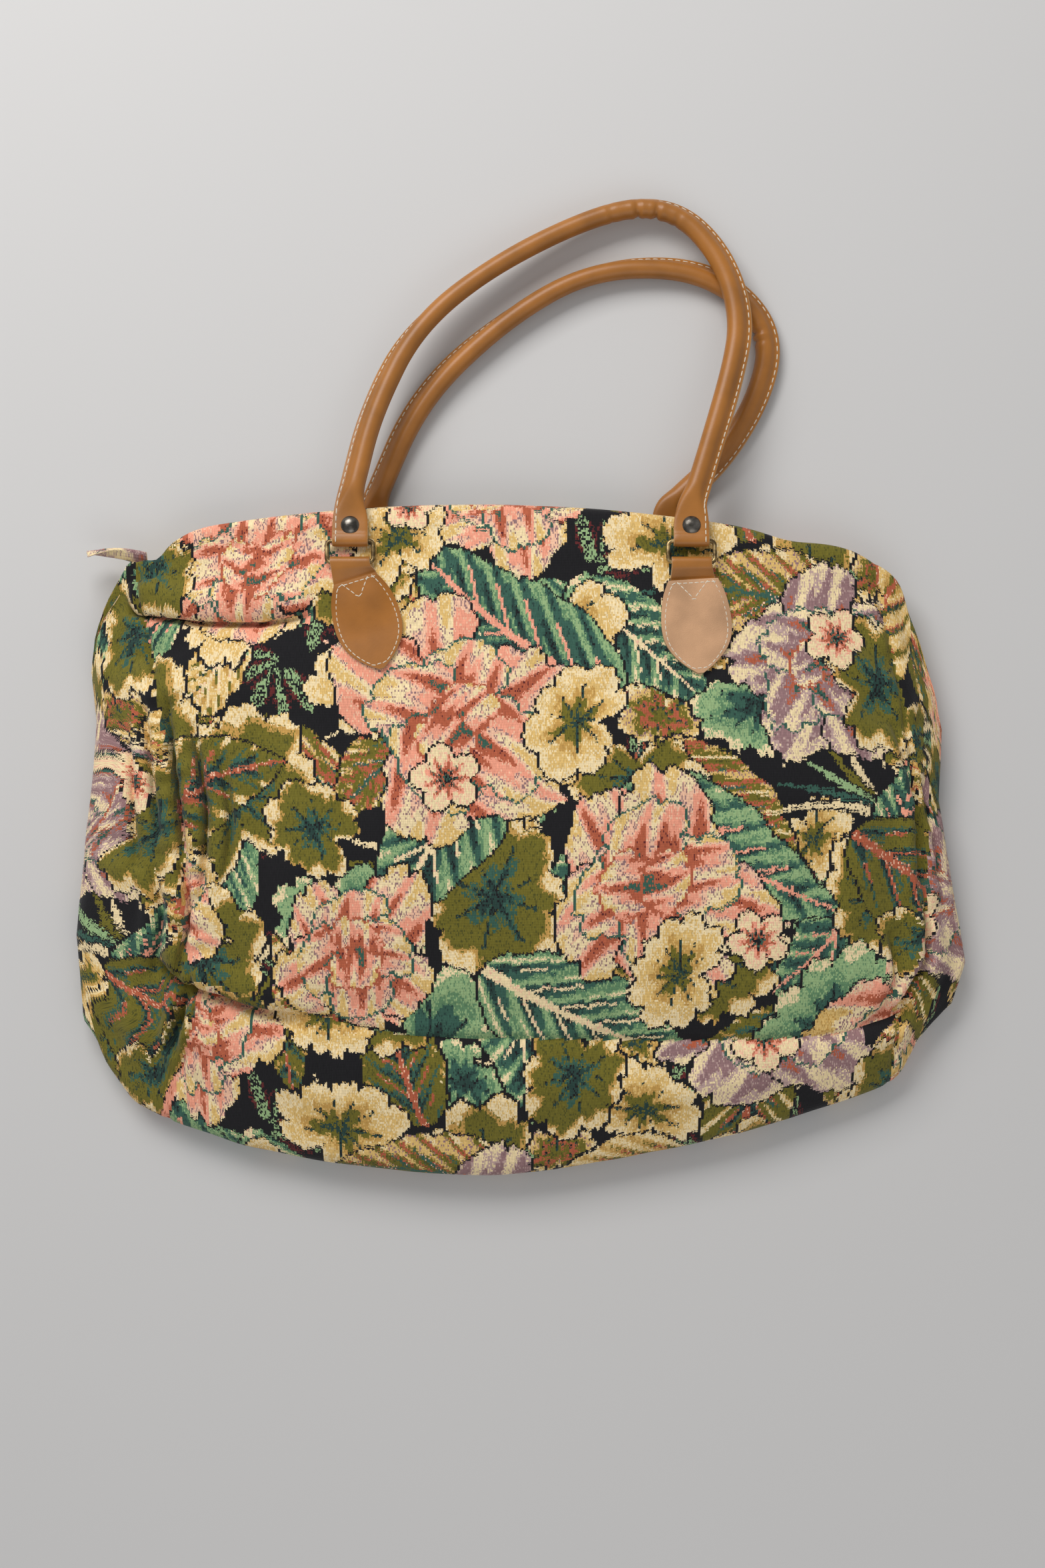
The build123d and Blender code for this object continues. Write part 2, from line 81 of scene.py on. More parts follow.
# Bands of shade from the heart of a petal or leaf outwards: limit, yarn, fleck yarn, share of flecks
BLOSSOM_BANDS = {
    "rose": (
        (0.10, "teal", "rust", 0.2),
        (0.34, "rust", "burgundy", 0.10),
        (0.40, "rust", "salmon", 0.3),
        (0.62, "salmon", "blush", 0.12),
        (0.76, "blush", "mauve", 0.30),
        (0.94, "cream", "mauve", 0.18),
        (9.0, "gold", "cream", 0.2),
    ),
    "peach": (
        (0.06, "pine", "teal", 0.2),
        (0.28, "rust", "salmon", 0.08),
        (0.54, "salmon", "rust", 0.05),
        (0.70, "blush", "salmon", 0.2),
        (0.90, "cream", "mauve", 0.26),
        (9.0, "gold", "ochre", 0.2),
    ),
    "lilac": (
        (0.18, "teal", "pine", 0.2),
        (0.32, "rust", "mauve", 0.3),
        (0.62, "mauve", "lilac", 0.15),
        (0.80, "lilac", "cream", 0.25),
        (9.0, "cream", "lilac", 0.2),
    ),
}
LEAF_BANDS = {
    "green": (
        (0.20, "pine", "black", 0.2),
        (0.46, "teal", "pine", 0.10),
        (0.66, "fern", "sage", 0.25),
        (0.90, "sage", "fern", 0.2),
        (9.0, "cream", "sage", 0.25),
    ),
    "olive": (
        (0.16, "pine", "black", 0.3),
        (0.34, "teal", "olive", 0.2),
        (0.80, "olive", "moss", 0.12),
        (0.88, "ochre", "olive", 0.2),
        (9.0, "cream", "gold", 0.3),
    ),
    "gold": (
        (0.12, "pine", "olive", 0.2),
        (0.34, "olive", "moss", 0.15),
        (0.52, "ochre", "gold", 0.2),
        (0.78, "gold", "cream", 0.25),
        (9.0, "cream", "gold", 0.25),
    ),
    "amber": (
        (0.24, "olive", "moss", 0.2),
        (0.46, "rust", "olive", 0.15),
        (0.66, "olive", "ochre", 0.1),
        (0.86, "gold", "mauve", 0.2),
        (9.0, "cream", "gold", 0.3),
    ),
}
loom = np.random.default_rng(21)
figure = np.zeros((REPEAT_ROWS, REPEAT_COLUMNS), int)
fleck = np.zeros((REPEAT_ROWS, REPEAT_COLUMNS), int)
density = np.zeros((REPEAT_ROWS, REPEAT_COLUMNS))


def streaks(across, along, seed):
    """Uneven streaks that run along a petal or leaf, about -1 to 1."""
    phase = np.random.default_rng(seed).uniform(0, 2 * math.pi, 4)
    return (
        np.sin(9 * across + 2.1 * np.sin(3 * along + phase[0]) + phase[1])
        + 0.7 * np.sin(17 * across + 3 * along + phase[2])
        + 0.5 * np.sin(5 * along + 4 * across + phase[3])
    ) / 2.2


def signed_power(value, power):
    """A power of the size that keeps the sign."""
    return np.sign(value) * np.abs(value) ** power


def plot(place, size, turn):
    """The stitches round a motif, wrapped over the repeat's edges, and their places in units of its size."""
    reach = np.arange(-math.ceil(1.2 * size), math.ceil(1.2 * size) + 1)
    middle = np.floor(place).astype(int)
    patch = np.ix_((middle[1] + reach) % REPEAT_ROWS, (middle[0] + reach) % REPEAT_COLUMNS)
    across, up = np.meshgrid(reach, reach)
    c, s = math.cos(turn), math.sin(turn)
    return patch, (across * c + up * s) / size, (up * c - across * s) / size


def weave(patch, mask, shade, bands, outline="black"):
    """Fill a mask by its shade, band by band, inside a thin outline."""
    tones, second, share = figure[patch], fleck[patch], density[patch]
    if outline:
        wide = mask.copy()
        for axis in (0, 1):
            wide |= np.roll(mask, 1, axis) | np.roll(mask, -1, axis)
        tones[wide] = YARN_NAMES.index(outline)
        share[wide] = 0
    low = -9.0
    for limit, main_yarn, fleck_yarn, fleck_share in bands:
        part = mask & (shade >= low) & (shade < limit)
        tones[part] = YARN_NAMES.index(main_yarn)
        second[part] = YARN_NAMES.index(fleck_yarn)
        share[part] = fleck_share
        low = limit
    figure[patch], fleck[patch], density[patch] = tones, second, share


def weave_petal(patch, x, y, turn, start, length, width, bands, seed, outline):
    """One ruffled petal that starts at a distance from the middle and curls as it opens along turn."""
    c, s = math.cos(turn), math.sin(turn)
    along = (x * c + y * s - start) / length
    across = (y * c - x * s) / width - 0.45 * math.sin(seed) * (along**2 - 0.2)
    inside = np.clip(along, 0, 1)
    half = np.sqrt(np.clip(np.sin(math.pi * inside**0.72), 0, 1))
    half = half * (0.6 + 0.4 * inside)
    half = half + 0.07 * np.sin(13 * along + seed) + 0.04 * np.sin(29 * along + 2 * seed)
    tip = 1 + 0.07 * np.cos(8 * across + seed) + 0.03 * np.cos(21 * across) - 0.14 * across**2
    mask = (along > 0) & (along < tip) & (np.abs(across) < half)
    edge = np.minimum(1 - np.abs(across) / np.maximum(half, 0.05), 1)
    flame = streaks(1.05 * across, 0.3 * along, seed)
    shade = 0.06 + 0.78 * along + 0.22 * (1 - edge) ** 2 + 0.44 * signed_power(flame, 0.8)
    weave(patch, mask, shade, bands, outline)


def weave_blossom(place, size, turn, bands):
    """A full blossom: two rounds of ruffled petals and a closed heart."""
    patch, x, y = plot(place, size, turn)
    rounds = (
        (5, 0.06, 0.98, 0.54, 0.0, "black"),
        (4, 0.02, 0.70, 0.44, 0.5, "teal"),
        (2, -0.06, 0.46, 0.3, 0.2, "rust"),
    )
    for count, start, length, width, skew, outline in rounds:
        for number in range(count):
            angle = (number + skew) * 2 * math.pi / count + loom.uniform(-0.3, 0.3)
            reach = length * loom.uniform(0.82, 1.12)
            seed = int(loom.integers(1000))
            breadth = width * loom.uniform(0.85, 1.15)
            weave_petal(patch, x, y, angle, start, reach, breadth, bands, seed, outline)


def weave_long_leaf(place, size, turn, bands, rib):
    """A broad pointed leaf with a scalloped edge, a rib and side veins."""
    patch, x, y = plot(place, size, turn)
    seed = int(loom.integers(1000))
    along = (x + 1) / 2
    y = y - 0.16 * np.sin(2.4 * along + seed)
    inside = np.clip(along, 0, 1)
    half = 0.50 * np.sin(math.pi * inside**0.8) ** 0.75 * (1 - 0.25 * inside)
    half = half + 0.035 * np.abs(np.sin(13 * along + 0.4 * seed))
    mask = (along > 0) & (along < 1) & (np.abs(y) < half)
    spread = np.abs(y) / np.maximum(half, 0.01)
    vein = (6.5 * along - 4.5 * np.abs(y)) % 1
    shade = 0.24 + 0.5 * spread + 0.48 * streaks(vein * 0.8, 0.6 * spread, seed) - 0.12 * (vein < 0.3)
    weave(patch, mask, shade, bands)
    ribs = mask & (np.abs(y) < 0.045 * (1 - 0.75 * inside))
    side = mask & (np.abs(vein - 0.1) < 0.07) & (spread < 0.62) & (along > 0.12) & (along < 0.8)
    weave(patch, ribs | side, np.zeros_like(x), ((9.0, rib, "blush", 0.1),), None)


def weave_round_leaf(place, size, turn, bands, lobes):
    """A round scalloped leaf with shaded lobes that open from a notch."""
    patch, x, y = plot(place, size, turn)
    seed = int(loom.integers(1000))
    angle = np.arctan2(y, x)
    reach = np.hypot(x, y)
    lobe = np.abs(np.sin(lobes / 2 * angle + 0.5 * np.sin(angle + seed)))
    rim = (0.76 + 0.24 * lobe**0.5) * (1 - 0.5 * np.exp(-((angle / 0.35) ** 2)))
    rim = rim * (1 + 0.16 * np.sin(2 * angle + seed)) + 0.02 * np.sin(31 * angle + seed)
    mask = reach < rim
    shade = reach / rim - 0.12 * (1 - lobe) + 0.20 * streaks(0.7 * angle, 0.6 * reach, seed)
    weave(patch, mask, shade, bands)
    veins = mask & (lobe < 0.16) & (reach < 0.72 * rim) & (reach > 0.05)
    weave(patch, veins, np.zeros_like(x), ((9.0, "pine", "black", 0.3),), None)


def weave_floret(place, size, turn):
    """A small five-petalled flower with a dark eye."""
    patch, x, y = plot(place, size, turn)
    angle = np.arctan2(y, x)
    reach = np.hypot(x, y)
    mask = reach < 0.55 + 0.45 * np.abs(np.cos(2.5 * angle)) ** 0.7
    shade = reach + 0.15 * np.sin(9 * angle + place[0])
    bands = (
        (0.18, "black", "teal", 0.3),
        (0.34, "rust", "teal", 0.2),
        (0.50, "salmon", "rust", 0.2),
        (9.0, "cream", "blush", 0.3),
    )
    weave(patch, mask, shade, bands)


def weave_sprig(place, size, turn):
    """Background foliage: small pale leaflets of open stitches, ringed in burgundy."""
    patch, x, y = plot(place, size, turn)
    for number in range(5):
        angle = (number - 2) * 0.62
        c, s = math.cos(angle), math.sin(angle)
        along = x * c + y * s
        across = np.abs(y * c - x * s)
        mask = (along > 0.1) & (along < 1) & (across < 0.2 * np.sin(math.pi * np.clip(along, 0, 1)))
        weave(patch, mask, across, ((0.11, "sage", "black", 0.5), (9.0, "burgundy", "black", 0.35)))


def weave_blades(place, size, turn):
    """A tuft of long curved grass blades."""
    patch, x, y = plot(place, size, turn)
    inside = np.clip(x, 0, 1)
    for number, name in enumerate(("cream", "olive", "sage", "teal", "cream")):
        middle = 0.34 * (number - 2) * inside**1.6 + 0.05 * (number - 2)
        mask = (x > 0) & (x < 1) & (np.abs(y - middle) < 0.055 * (1 - 0.8 * inside))
        weave(patch, mask, np.zeros_like(x), ((9.0, name, "black", 0.06),))


def scatter(count, room):
    """Places spread over the repeat, none nearer than room to another, counted round its edges."""
    size = np.array((REPEAT_COLUMNS, REPEAT_ROWS))
    places = []
    for spot in loom.uniform((0, 0), size, (6000, 2)):
        gaps = [np.hypot(*((spot - other + size / 2) % size - size / 2)) for other in places]
        if len(places) < count and min(gaps, default=room) >= room:
            places.append(spot)
    return places


def any_turn():
    return loom.uniform(0, 2 * math.pi)


for spot in scatter(80, 26):
    weave_sprig(spot, loom.uniform(16, 23), any_turn())
undergrowth = figure.copy()
for spot in scatter(22, 50):
    weave_blades(spot, loom.uniform(30, 44), any_turn())
leaf_kinds = (
    ("green", "salmon"), ("olive", "rust"), ("amber", "teal"), ("green", "cream"), ("gold", "rust"),
)
for number, spot in enumerate(scatter(50, 36)):
    kind, rib = leaf_kinds[number % len(leaf_kinds)]
    weave_long_leaf(spot, loom.uniform(30, 42), any_turn(), LEAF_BANDS[kind], rib)
round_kinds = ("olive", "gold", "olive", "gold", "green", "olive")
for number, spot in enumerate(scatter(42, 42)):
    kind = LEAF_BANDS[round_kinds[number % len(round_kinds)]]
    weave_round_leaf(spot, loom.uniform(20, 32), any_turn(), kind, int(loom.integers(8, 13)))
for number, spot in enumerate(scatter(15, 74)):
    kind, rib = leaf_kinds[(2 * number) % len(leaf_kinds)]
    weave_long_leaf(spot, loom.uniform(38, 50), any_turn(), LEAF_BANDS[kind], rib)
blossom_kinds = ("rose", "peach", "rose", "lilac", "peach")
for number, spot in enumerate(scatter(14, 84)):
    kind = BLOSSOM_BANDS[blossom_kinds[number % len(blossom_kinds)]]
    weave_blossom(spot, loom.uniform(32, 46), any_turn(), kind)
for number, spot in enumerate(scatter(12, 88)):
    kind = LEAF_BANDS[("gold", "gold", "olive")[number % 3]]
    weave_round_leaf(spot, loom.uniform(17, 25), any_turn(), kind, int(loom.integers(8, 13)))
for spot in scatter(9, 100):
    weave_floret(spot, loom.uniform(9, 13), any_turn())


def widest_ground():
    """The place where the black ground lies open widest, and how far it reaches there."""
    ground = figure == 0
    reach = np.zeros(figure.shape, int)
    while ground.any():
        reach += ground
        for axis in (0, 1):
            ground = ground & np.roll(ground, 1, axis) & np.roll(ground, -1, axis)
    row, column = np.unravel_index(np.argmax(reach), reach.shape)
    return (column, row), reach.max()


# Smaller leaves lie behind the rest, so that little of the ground is left open
MOST_FILLERS = 70
NARROWEST_GROUND = 6
ground_kinds = ("gold", "green", "olive", "gold", "amber")
for number in range(MOST_FILLERS):
    spot, reach = widest_ground()
    if reach < NARROWEST_GROUND:
        break
    kept = [woven.copy() for woven in (figure, fleck, density)]
    ahead = (figure != 0) & (figure != undergrowth)
    for axis in (0, 1):
        ahead = ahead | np.roll(ahead, 1, axis) | np.roll(ahead, -1, axis)
    kind = ground_kinds[number % len(ground_kinds)]
    if number % 3 == 2:
        weave_long_leaf(spot, 2.4 * reach + 6, any_turn(), LEAF_BANDS[kind], "cream")
    else:
        weave_round_leaf(spot, 1.7 * reach + 3, any_turn(), LEAF_BANDS[kind], int(loom.integers(7, 11)))
    for woven, former in zip((figure, fleck, density), kept):
        woven[ahead] = former[ahead]

# Display values of the yarns made linear, as the shader takes them
shown = np.array(list(YARNS.values())) / 255
yarn_colours = np.where(shown < 0.04045, shown / 12.92, ((shown + 0.055) / 1.055) ** 2.4)


def new_material(name):
    """An empty node material, with helpers that add a node and that fill the shader's inputs."""
    material = bpy.data.materials.new(name)
    material.use_nodes = True
    tree = material.node_tree

    def fill(target, inputs):
        """Set each input to its value, or link it where an output of another node is given."""
        for key, value in inputs.items():
            if isinstance(value, bpy.types.NodeSocket):
                tree.links.new(value, target.inputs[key])
            else:
                target.inputs[key].default_value = value

    def node(kind, inputs, **settings):
        made = tree.nodes.new(kind)
        for key, value in settings.items():
            setattr(made, key, value)
        fill(made, inputs)
        return made.outputs

    def shade(inputs):
        fill(tree.nodes["Principled BSDF"], inputs)

    return material, node, shade


def tapestry_material():
    """Woven cotton: each stitch in its yarn, second yarns as flecks, ribs and slubs along the warp."""
    material, node, shade = new_material("tapestry")
    yarn = node("ShaderNodeAttribute", {}, attribute_name="yarn")
    above = node("ShaderNodeAttribute", {}, attribute_name="above")
    second = node("ShaderNodeAttribute", {}, attribute_name="fleck")
    cloth = node("ShaderNodeUVMap", {}, uv_map="cloth")[0]

    def cover(plain, other, threads):
        """The other yarn wherever its share beats chance at a crossing of threads, counted to the metre."""
        spread = node("ShaderNodeVectorMath", {0: cloth, 1: threads}, operation="MULTIPLY")
        crossing = node("ShaderNodeVectorMath", {0: spread[0]}, operation="FLOOR")
        chance = node("ShaderNodeTexWhiteNoise", {"Vector": crossing[0]}, noise_dimensions="2D")
        shows = node("ShaderNodeMath", {0: other["Alpha"], 1: chance["Value"]}, operation="GREATER_THAN")
        layers = {"Factor": shows[0], "A": plain, "B": other["Color"]}
        return node("ShaderNodeMix", layers, data_type="RGBA")["Result"]

    # Each warp thread turns at its own height, so the edges of the figures are toothed
    toothed = cover(yarn["Color"], above, (1450, 620, 1))
    flecked = cover(toothed, second, (1500, 800, 1))
    drawn_out = node("ShaderNodeMapping", {"Vector": cloth, "Scale": (1700, 260, 1)})
    slubs = {"Vector": drawn_out[0], "Scale": 1.0, "Detail": 2.0}
    slub = node("ShaderNodeTexNoise", slubs, noise_dimensions="2D")["Fac"]
    tones = {"From Min": 0.25, "From Max": 0.75, "To Min": 0.78, "To Max": 1.16}
    fade = node("ShaderNodeMapRange", {"Value": slub, **tones})
    layers = {"Factor": 1.0, "A": flecked, "B": fade[0]}
    tinted = node("ShaderNodeMix", layers, data_type="RGBA", blend_type="MULTIPLY")
    spacing = node("ShaderNodeMapping", {"Vector": cloth, "Scale": (200, 330, 1)})
    waves = {"Vector": spacing[0], "Scale": 1.0, "Distortion": 0.6}
    ribs = node("ShaderNodeTexWave", waves, wave_type="BANDS", bands_direction="Y")
    relief = node("ShaderNodeMath", {0: ribs["Fac"], 1: slub}, operation="ADD")
    bump = node("ShaderNodeBump", {"Height": relief[0], "Strength": 0.35, "Distance": 0.0003})
    shade({"Base Color": tinted["Result"], "Normal": bump[0], "Roughness": 0.88})
    shade({"Specular IOR Level": 0.15, "Sheen Weight": 0.12, "Sheen Roughness": 0.5})
    return material


tapestry = tapestry_material()

# Bag body: front, back and base panels and two gussets of the tapestry, sewn inside out and turned, so that
# the seams show as fine valleys. The bag is soft and empty: it lies flat, slumps to its left, and folds
# over itself below the top edge and at the lower left corner.
PANELS = ("front_panel", "back_panel", "base_panel", "left_side_panel", "right_side_panel")
MM = 0.001
ZIP_LEVEL = 0.0206
ZIP_WINDOW = 0.0046
ZIP_SPAN = (-0.2047, 0.1497)
# Where the puller lies down at either end of the zip, and how much the top edge rises elsewhere, in mm
PULLER_ENDS = (-209, 156)
TOP_RISE = 2.4
# Seams and side edges as the bag lies, in mm
left_seam = (
    (-231, 210), (-226, 151), (-211, 83), (-205, 48), (-195, -7), (-195, -37), (-198, -54), (-190, -79),
)
left_heel = ((-190, -79), (-191, -100), (-209, -164), (-217, -215))
right_seam = (
    (198, 215), (209, 143), (224, 77), (238, 14), (236, -39), (231, -66), (222, -92), (216, -150),
    (214, -215),
)
bottom_seam = (
    (-190, -79), (-153, -91), (-96, -107), (-62, -113), (-6, -114), (85, -115), (132, -115), (185, -112),
    (222, -100),
)
left_edge = (
    (-256, 135), (-257, 119), (-252, 71), (-254, 40), (-258, 8), (-264, -55), (-260, -102), (-256, -118),
)
right_edge = ((241, 135), (249, 87), (246, 24), (251, -8), (262, -71), (252, -102), (243, -118))


def packed_surface(names):
    """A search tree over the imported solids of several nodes."""
    points, faces = [], []
    for name in names:
        mesh = frame["nodes"][name].data
        first = len(points)
        points += [v.co.copy() for v in mesh.vertices]
        faces += [[first + i for i in polygon.vertices] for polygon in mesh.polygons]
    return BVHTree.FromPolygons(points, faces)


def bridge_gaps(values):
    """Fill the gaps in a row of values from what lies on both sides."""
    known = np.isfinite(values)
    places = np.arange(len(values))
    return np.interp(places, places[known], values[known])


def blur(grid, radius, axis, wrap):
    """Even out a grid of points along one of its axes."""
    reach = int(3 * radius) + 1
    steps = np.arange(-reach, reach + 1)
    weights = np.exp(-0.5 * (steps / radius) ** 2)
    mode = "wrap" if wrap else "edge"
    room = [(0, 0)] * grid.ndim
    room[axis] = (reach, reach)
    padded = np.pad(grid, room, mode=mode)
    count = grid.shape[axis]
    total = sum(w * np.take(padded, np.arange(count) + k, axis) for k, w in enumerate(weights))
    return total / weights.sum()


cloth_tree = packed_surface(PANELS)
body_low = np.min([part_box(name)[0] for name in PANELS], axis=0)
body_high = np.max([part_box(name)[1] for name in PANELS], axis=0)
SKIN_STEP = 2 * STITCH
END_INSET = 0.0004
columns = round((body_high[0] - body_low[0]) / SKIN_STEP)
skin_columns = np.linspace(body_low[0] + END_INSET, body_high[0] - END_INSET, columns)
front_rows = round((body_high[1] - body_low[1]) / SKIN_STEP) - 8
# Rows round the top and the bottom edge, how far those edges reach, and how wide the zip leaves the top open
fan_rows = 18
FAN_REACH = 0.015
ZIP_OPENING = 0.45
far_out = 0.2


def hit(x, y, z, direction, axis):
    """Where the cloth is met first, looking from a place along a direction."""
    place = cloth_tree.ray_cast(Vector((x, y, z)), Vector(direction))[0]
    return math.nan if place is None else place[axis]


def section(x):
    """The bag's skin across its width at x: down the front, round the bottom, up the back, round the top."""
    levels = np.linspace(0.004, 0.036, 9)
    top = np.nanmax([hit(x, 0.4, z, (0, -1, 0), 1) for z in levels])
    bottom = np.nanmin([hit(x, -0.4, z, (0, 1, 0), 1) for z in levels])
    fan = min(FAN_REACH, 0.2 * (top - bottom))
    heights = np.linspace(top - fan, bottom + fan, front_rows)
    front = bridge_gaps(np.array([hit(x, y, far_out, (0, 0, -1), 2) for y in heights]))
    back = bridge_gaps(np.array([hit(x, y, -far_out, (0, 0, 1), 2) for y in heights]))
    points = [np.stack((np.full(front_rows, x), heights, front), 1)]
    turns = np.linspace(0, math.pi, fan_rows + 2)[1:-1]
    bends = ((heights[-1], 0.5 * math.pi, back[::-1], -1), (heights[0], -0.5 * math.pi, None, 0))
    for middle, start, rows, end in bends:
        level = (front[end] + back[end]) / 2
        ring = []
        for turn in start + turns:
            out = Vector((0, math.cos(turn), math.sin(turn)))
            origin = Vector((x, middle, level)) + out * far_out
            place = cloth_tree.ray_cast(origin, -out)[0]
            open_zip = end == 0 and abs(out.z) < ZIP_OPENING
            ring.append((math.nan,) * 3 if place is None or open_zip else tuple(place))
        ring = np.array(ring)
        edge = np.array(((x, middle, front[end]), (x, middle, back[end])))
        ends = edge if end else edge[::-1]
        ring = np.vstack((ends[:1], ring, ends[1:]))
        points.append(np.stack([bridge_gaps(ring[:, axis]) for axis in range(3)], 1)[1:-1])
        if rows is not None:
            points.append(np.stack((np.full(front_rows, x), heights[::-1], rows), 1))
    return np.vstack(points)


skin = np.array([section(x) for x in skin_columns])
evened = blur(skin, 2.5, 0, False)
from_end = np.minimum(skin_columns - skin_columns[0], skin_columns[-1] - skin_columns)
broad = np.clip(from_end / 0.05 - 0.3, 0, 1)[:, None, None]
skin = blur(evened * broad + blur(skin, 0.8, 0, False) * (1 - broad), 1.2, 1, True)
skin[:, :, 0] = skin_columns[:, None]


def finer(grid, axis, wrap):
    """Put a new point midway between each two along an axis."""
    after = np.roll(grid, -1, axis)
    middle = (grid + after) / 2
    both = np.stack((grid, middle), axis + 1)
    shape = list(grid.shape)
    shape[axis] *= 2
    both = both.reshape(shape)
    return both if wrap else np.delete(both, -1, axis)


skin = blur(finer(finer(skin, 0, False), 1, True), 1.0, 1, True)
front_count, fan_count = 2 * front_rows, 2 * fan_rows
base_z = skin[:, :, 2].copy()


def from_line(points, x, y):
    """Distance in mm from a line of points, positive to its left, and the share of the way along it."""
    points = np.array(points, float)
    runs = np.diff(points, axis=0)
    lengths = np.hypot(*runs.T)
    done = np.concatenate(((0,), np.cumsum(lengths)))
    best = np.full(x.shape, 1e9)
    share = np.zeros(x.shape)
    for start, run, length, before in zip(points, runs, lengths, done):
        dx, dy = x - start[0], y - start[1]
        way = np.clip((dx * run[0] + dy * run[1]) / length**2, 0, 1)
        gap = np.hypot(dx - way * run[0], dy - way * run[1])
        side = np.where(run[0] * dy - run[1] * dx >= 0, 1, -1)
        closer = gap < np.abs(best)
        best = np.where(closer, side * gap, best)
        share = np.where(closer, (before + way * length) / done[-1], share)
    return best, share


def bell(distance, width):
    """1 at no distance, falling away over the width."""
    return np.exp(-((distance / width) ** 2))


def ease(value, low, high):
    """0 below low, 1 above high, smooth between."""
    t = np.clip((value - low) / (high - low), 0, 1)
    return t * t * (3 - 2 * t)


def mid_level():
    """The height halfway between the back and the front of each section."""
    level = skin[:, :, 2]
    return (level.max(1, keepdims=True) + level.min(1, keepdims=True)) / 2


x, y = skin[:, :, 0] / MM, skin[:, :, 1] / MM
middle = mid_level()
upper = ease((skin[:, :, 2] - middle) / MM, -2, 6)
lower = 1 - upper

# The sides are drawn in and out as the cloth hangs, and close in a soft rounded edge
SIDE_DRAW = 45
ROUND_OFF = 7.0
left_pull = np.interp(-y, [-p[1] for p in left_edge], [p[0] for p in left_edge]) - body_low[0] / MM
right_pull = np.interp(-y, [-p[1] for p in right_edge], [p[0] for p in right_edge]) - body_high[0] / MM
from_left = x - body_low[0] / MM
from_right = body_high[0] / MM - x
shift_x = left_pull * (1 - ease(from_left, 0, SIDE_DRAW))
shift_x += right_pull * (1 - ease(from_right, 0, SIDE_DRAW))
shift_y = np.zeros_like(x)
top_edge = TOP_RISE * ease(y, 150, 186)
for place in PULLER_ENDS:
    top_edge *= 1 - 1.5 * bell(x - place, 18)
lift = np.zeros_like(x)

# At the left the upper cloth hangs over a deep crease below the top edge, and the front panel slumps over
# the base: ease in, ease out, ridge, and the hollow's depth, distance and width
overhangs = (
    (((-236, 141), (-190, 135), (-152, 134), (-120, 137), (-84, 144)), 0.06, (0.02, 0.55), 4.6, 10.0, 4, 4.5),
    (((-214, -66), (-190, -78), (-153, -91), (-128, -100), (-108, -104)), 0.1, (0.0, 0.5), 5.0, 11.0, 5, 5),
)
for line, ease_in, ease_out, ridge, hollow, below, width in overhangs:
    gap, share = from_line(line, x, y)
    fold = upper * ease(1 - share, *ease_out) * ease(share, 0.0, ease_in)
    lift += fold * (ridge * bell(gap - 7, 6) - hollow * bell(gap + below, width))
    shift_y -= fold * 7.5 * bell(gap - 2, 4.5)

# An eye-shaped tuck where three panels meet below it
gap, share = from_line(((-195, -84), (-199, -97), (-203, -112), (-206, -126)), x, y)
fold = upper * np.sin(math.pi * np.clip(share, 0, 1)) * (np.abs(gap) < 40)
lift += fold * (6.0 * bell(np.abs(gap) - 6.5, 3.4) - 12.0 * bell(gap, 2.5))

# Seams lie in narrow valleys, and the cloth gathers beside them
for line, depth, pucker, pitch in (
    (left_seam, 2.6, 1.5, 15),
    (left_heel, 2.2, 0.8, 17),
    (right_seam, 2.0, 0.9, 19),
    (bottom_seam, 1.8, 0.45, 23),
):
    gap, share = from_line(line, x, y)
    length = sum(math.dist(a, b) for a, b in zip(line, line[1:]))
    wave = np.sin(2 * math.pi * share * length / pitch + 1.3 * np.sin(share * length / 31))
    gathered = pucker * wave * bell(gap, 12) * ease(np.abs(gap), 0, 4)
    lift += (0.3 + 0.7 * upper) * (gathered - depth * bell(gap, 1.7))
    lift += 0.8 * bell(np.abs(gap) - 7, 4.5) * upper

# Long soft folds across the gussets, down from the tabs, and over the base: points, height, width
soft_folds = (
    ((-258, -5), (-225, -20), (-200, -30), 2.0, 7),
    ((-256, 100), (-222, 90), (-190, 96), 2.0, 8),
    ((-180, 110), (-160, 40), (-172, -50), 1.6, 9),
    ((-150, 118), (-128, 60), (-120, -20), 1.2, 14),
    ((170, 120), (190, 60), (196, -60), 1.6, 12),
    ((200, 60), (225, 20), (224, -50), 1.6, 8),
    ((180, -112), (205, -118), (232, -108), 2.6, 6),
    ((-150, -120), (-120, -150), (-60, -172), 1.4, 12),
    ((20, -130), (80, -150), (150, -140), 1.2, 12),
    ((-240, -60), (-228, -100), (-230, -140), 2.0, 8),
    ((232, -30), (240, -60), (236, -95), 2.4, 6),
    ((160, 132), (194, 106), (224, 80), 2.8, 7),
    ((176, 80), (206, 64), (232, 52), 1.8, 7),
)
for *line, height, width in soft_folds:
    gap, share = from_line(line, x, y)
    run = np.sin(math.pi * np.clip(share, 0, 1)) ** 0.7
    lift += upper * run * height * (bell(gap, width) - 0.7 * bell(gap - 1.9 * width, width))

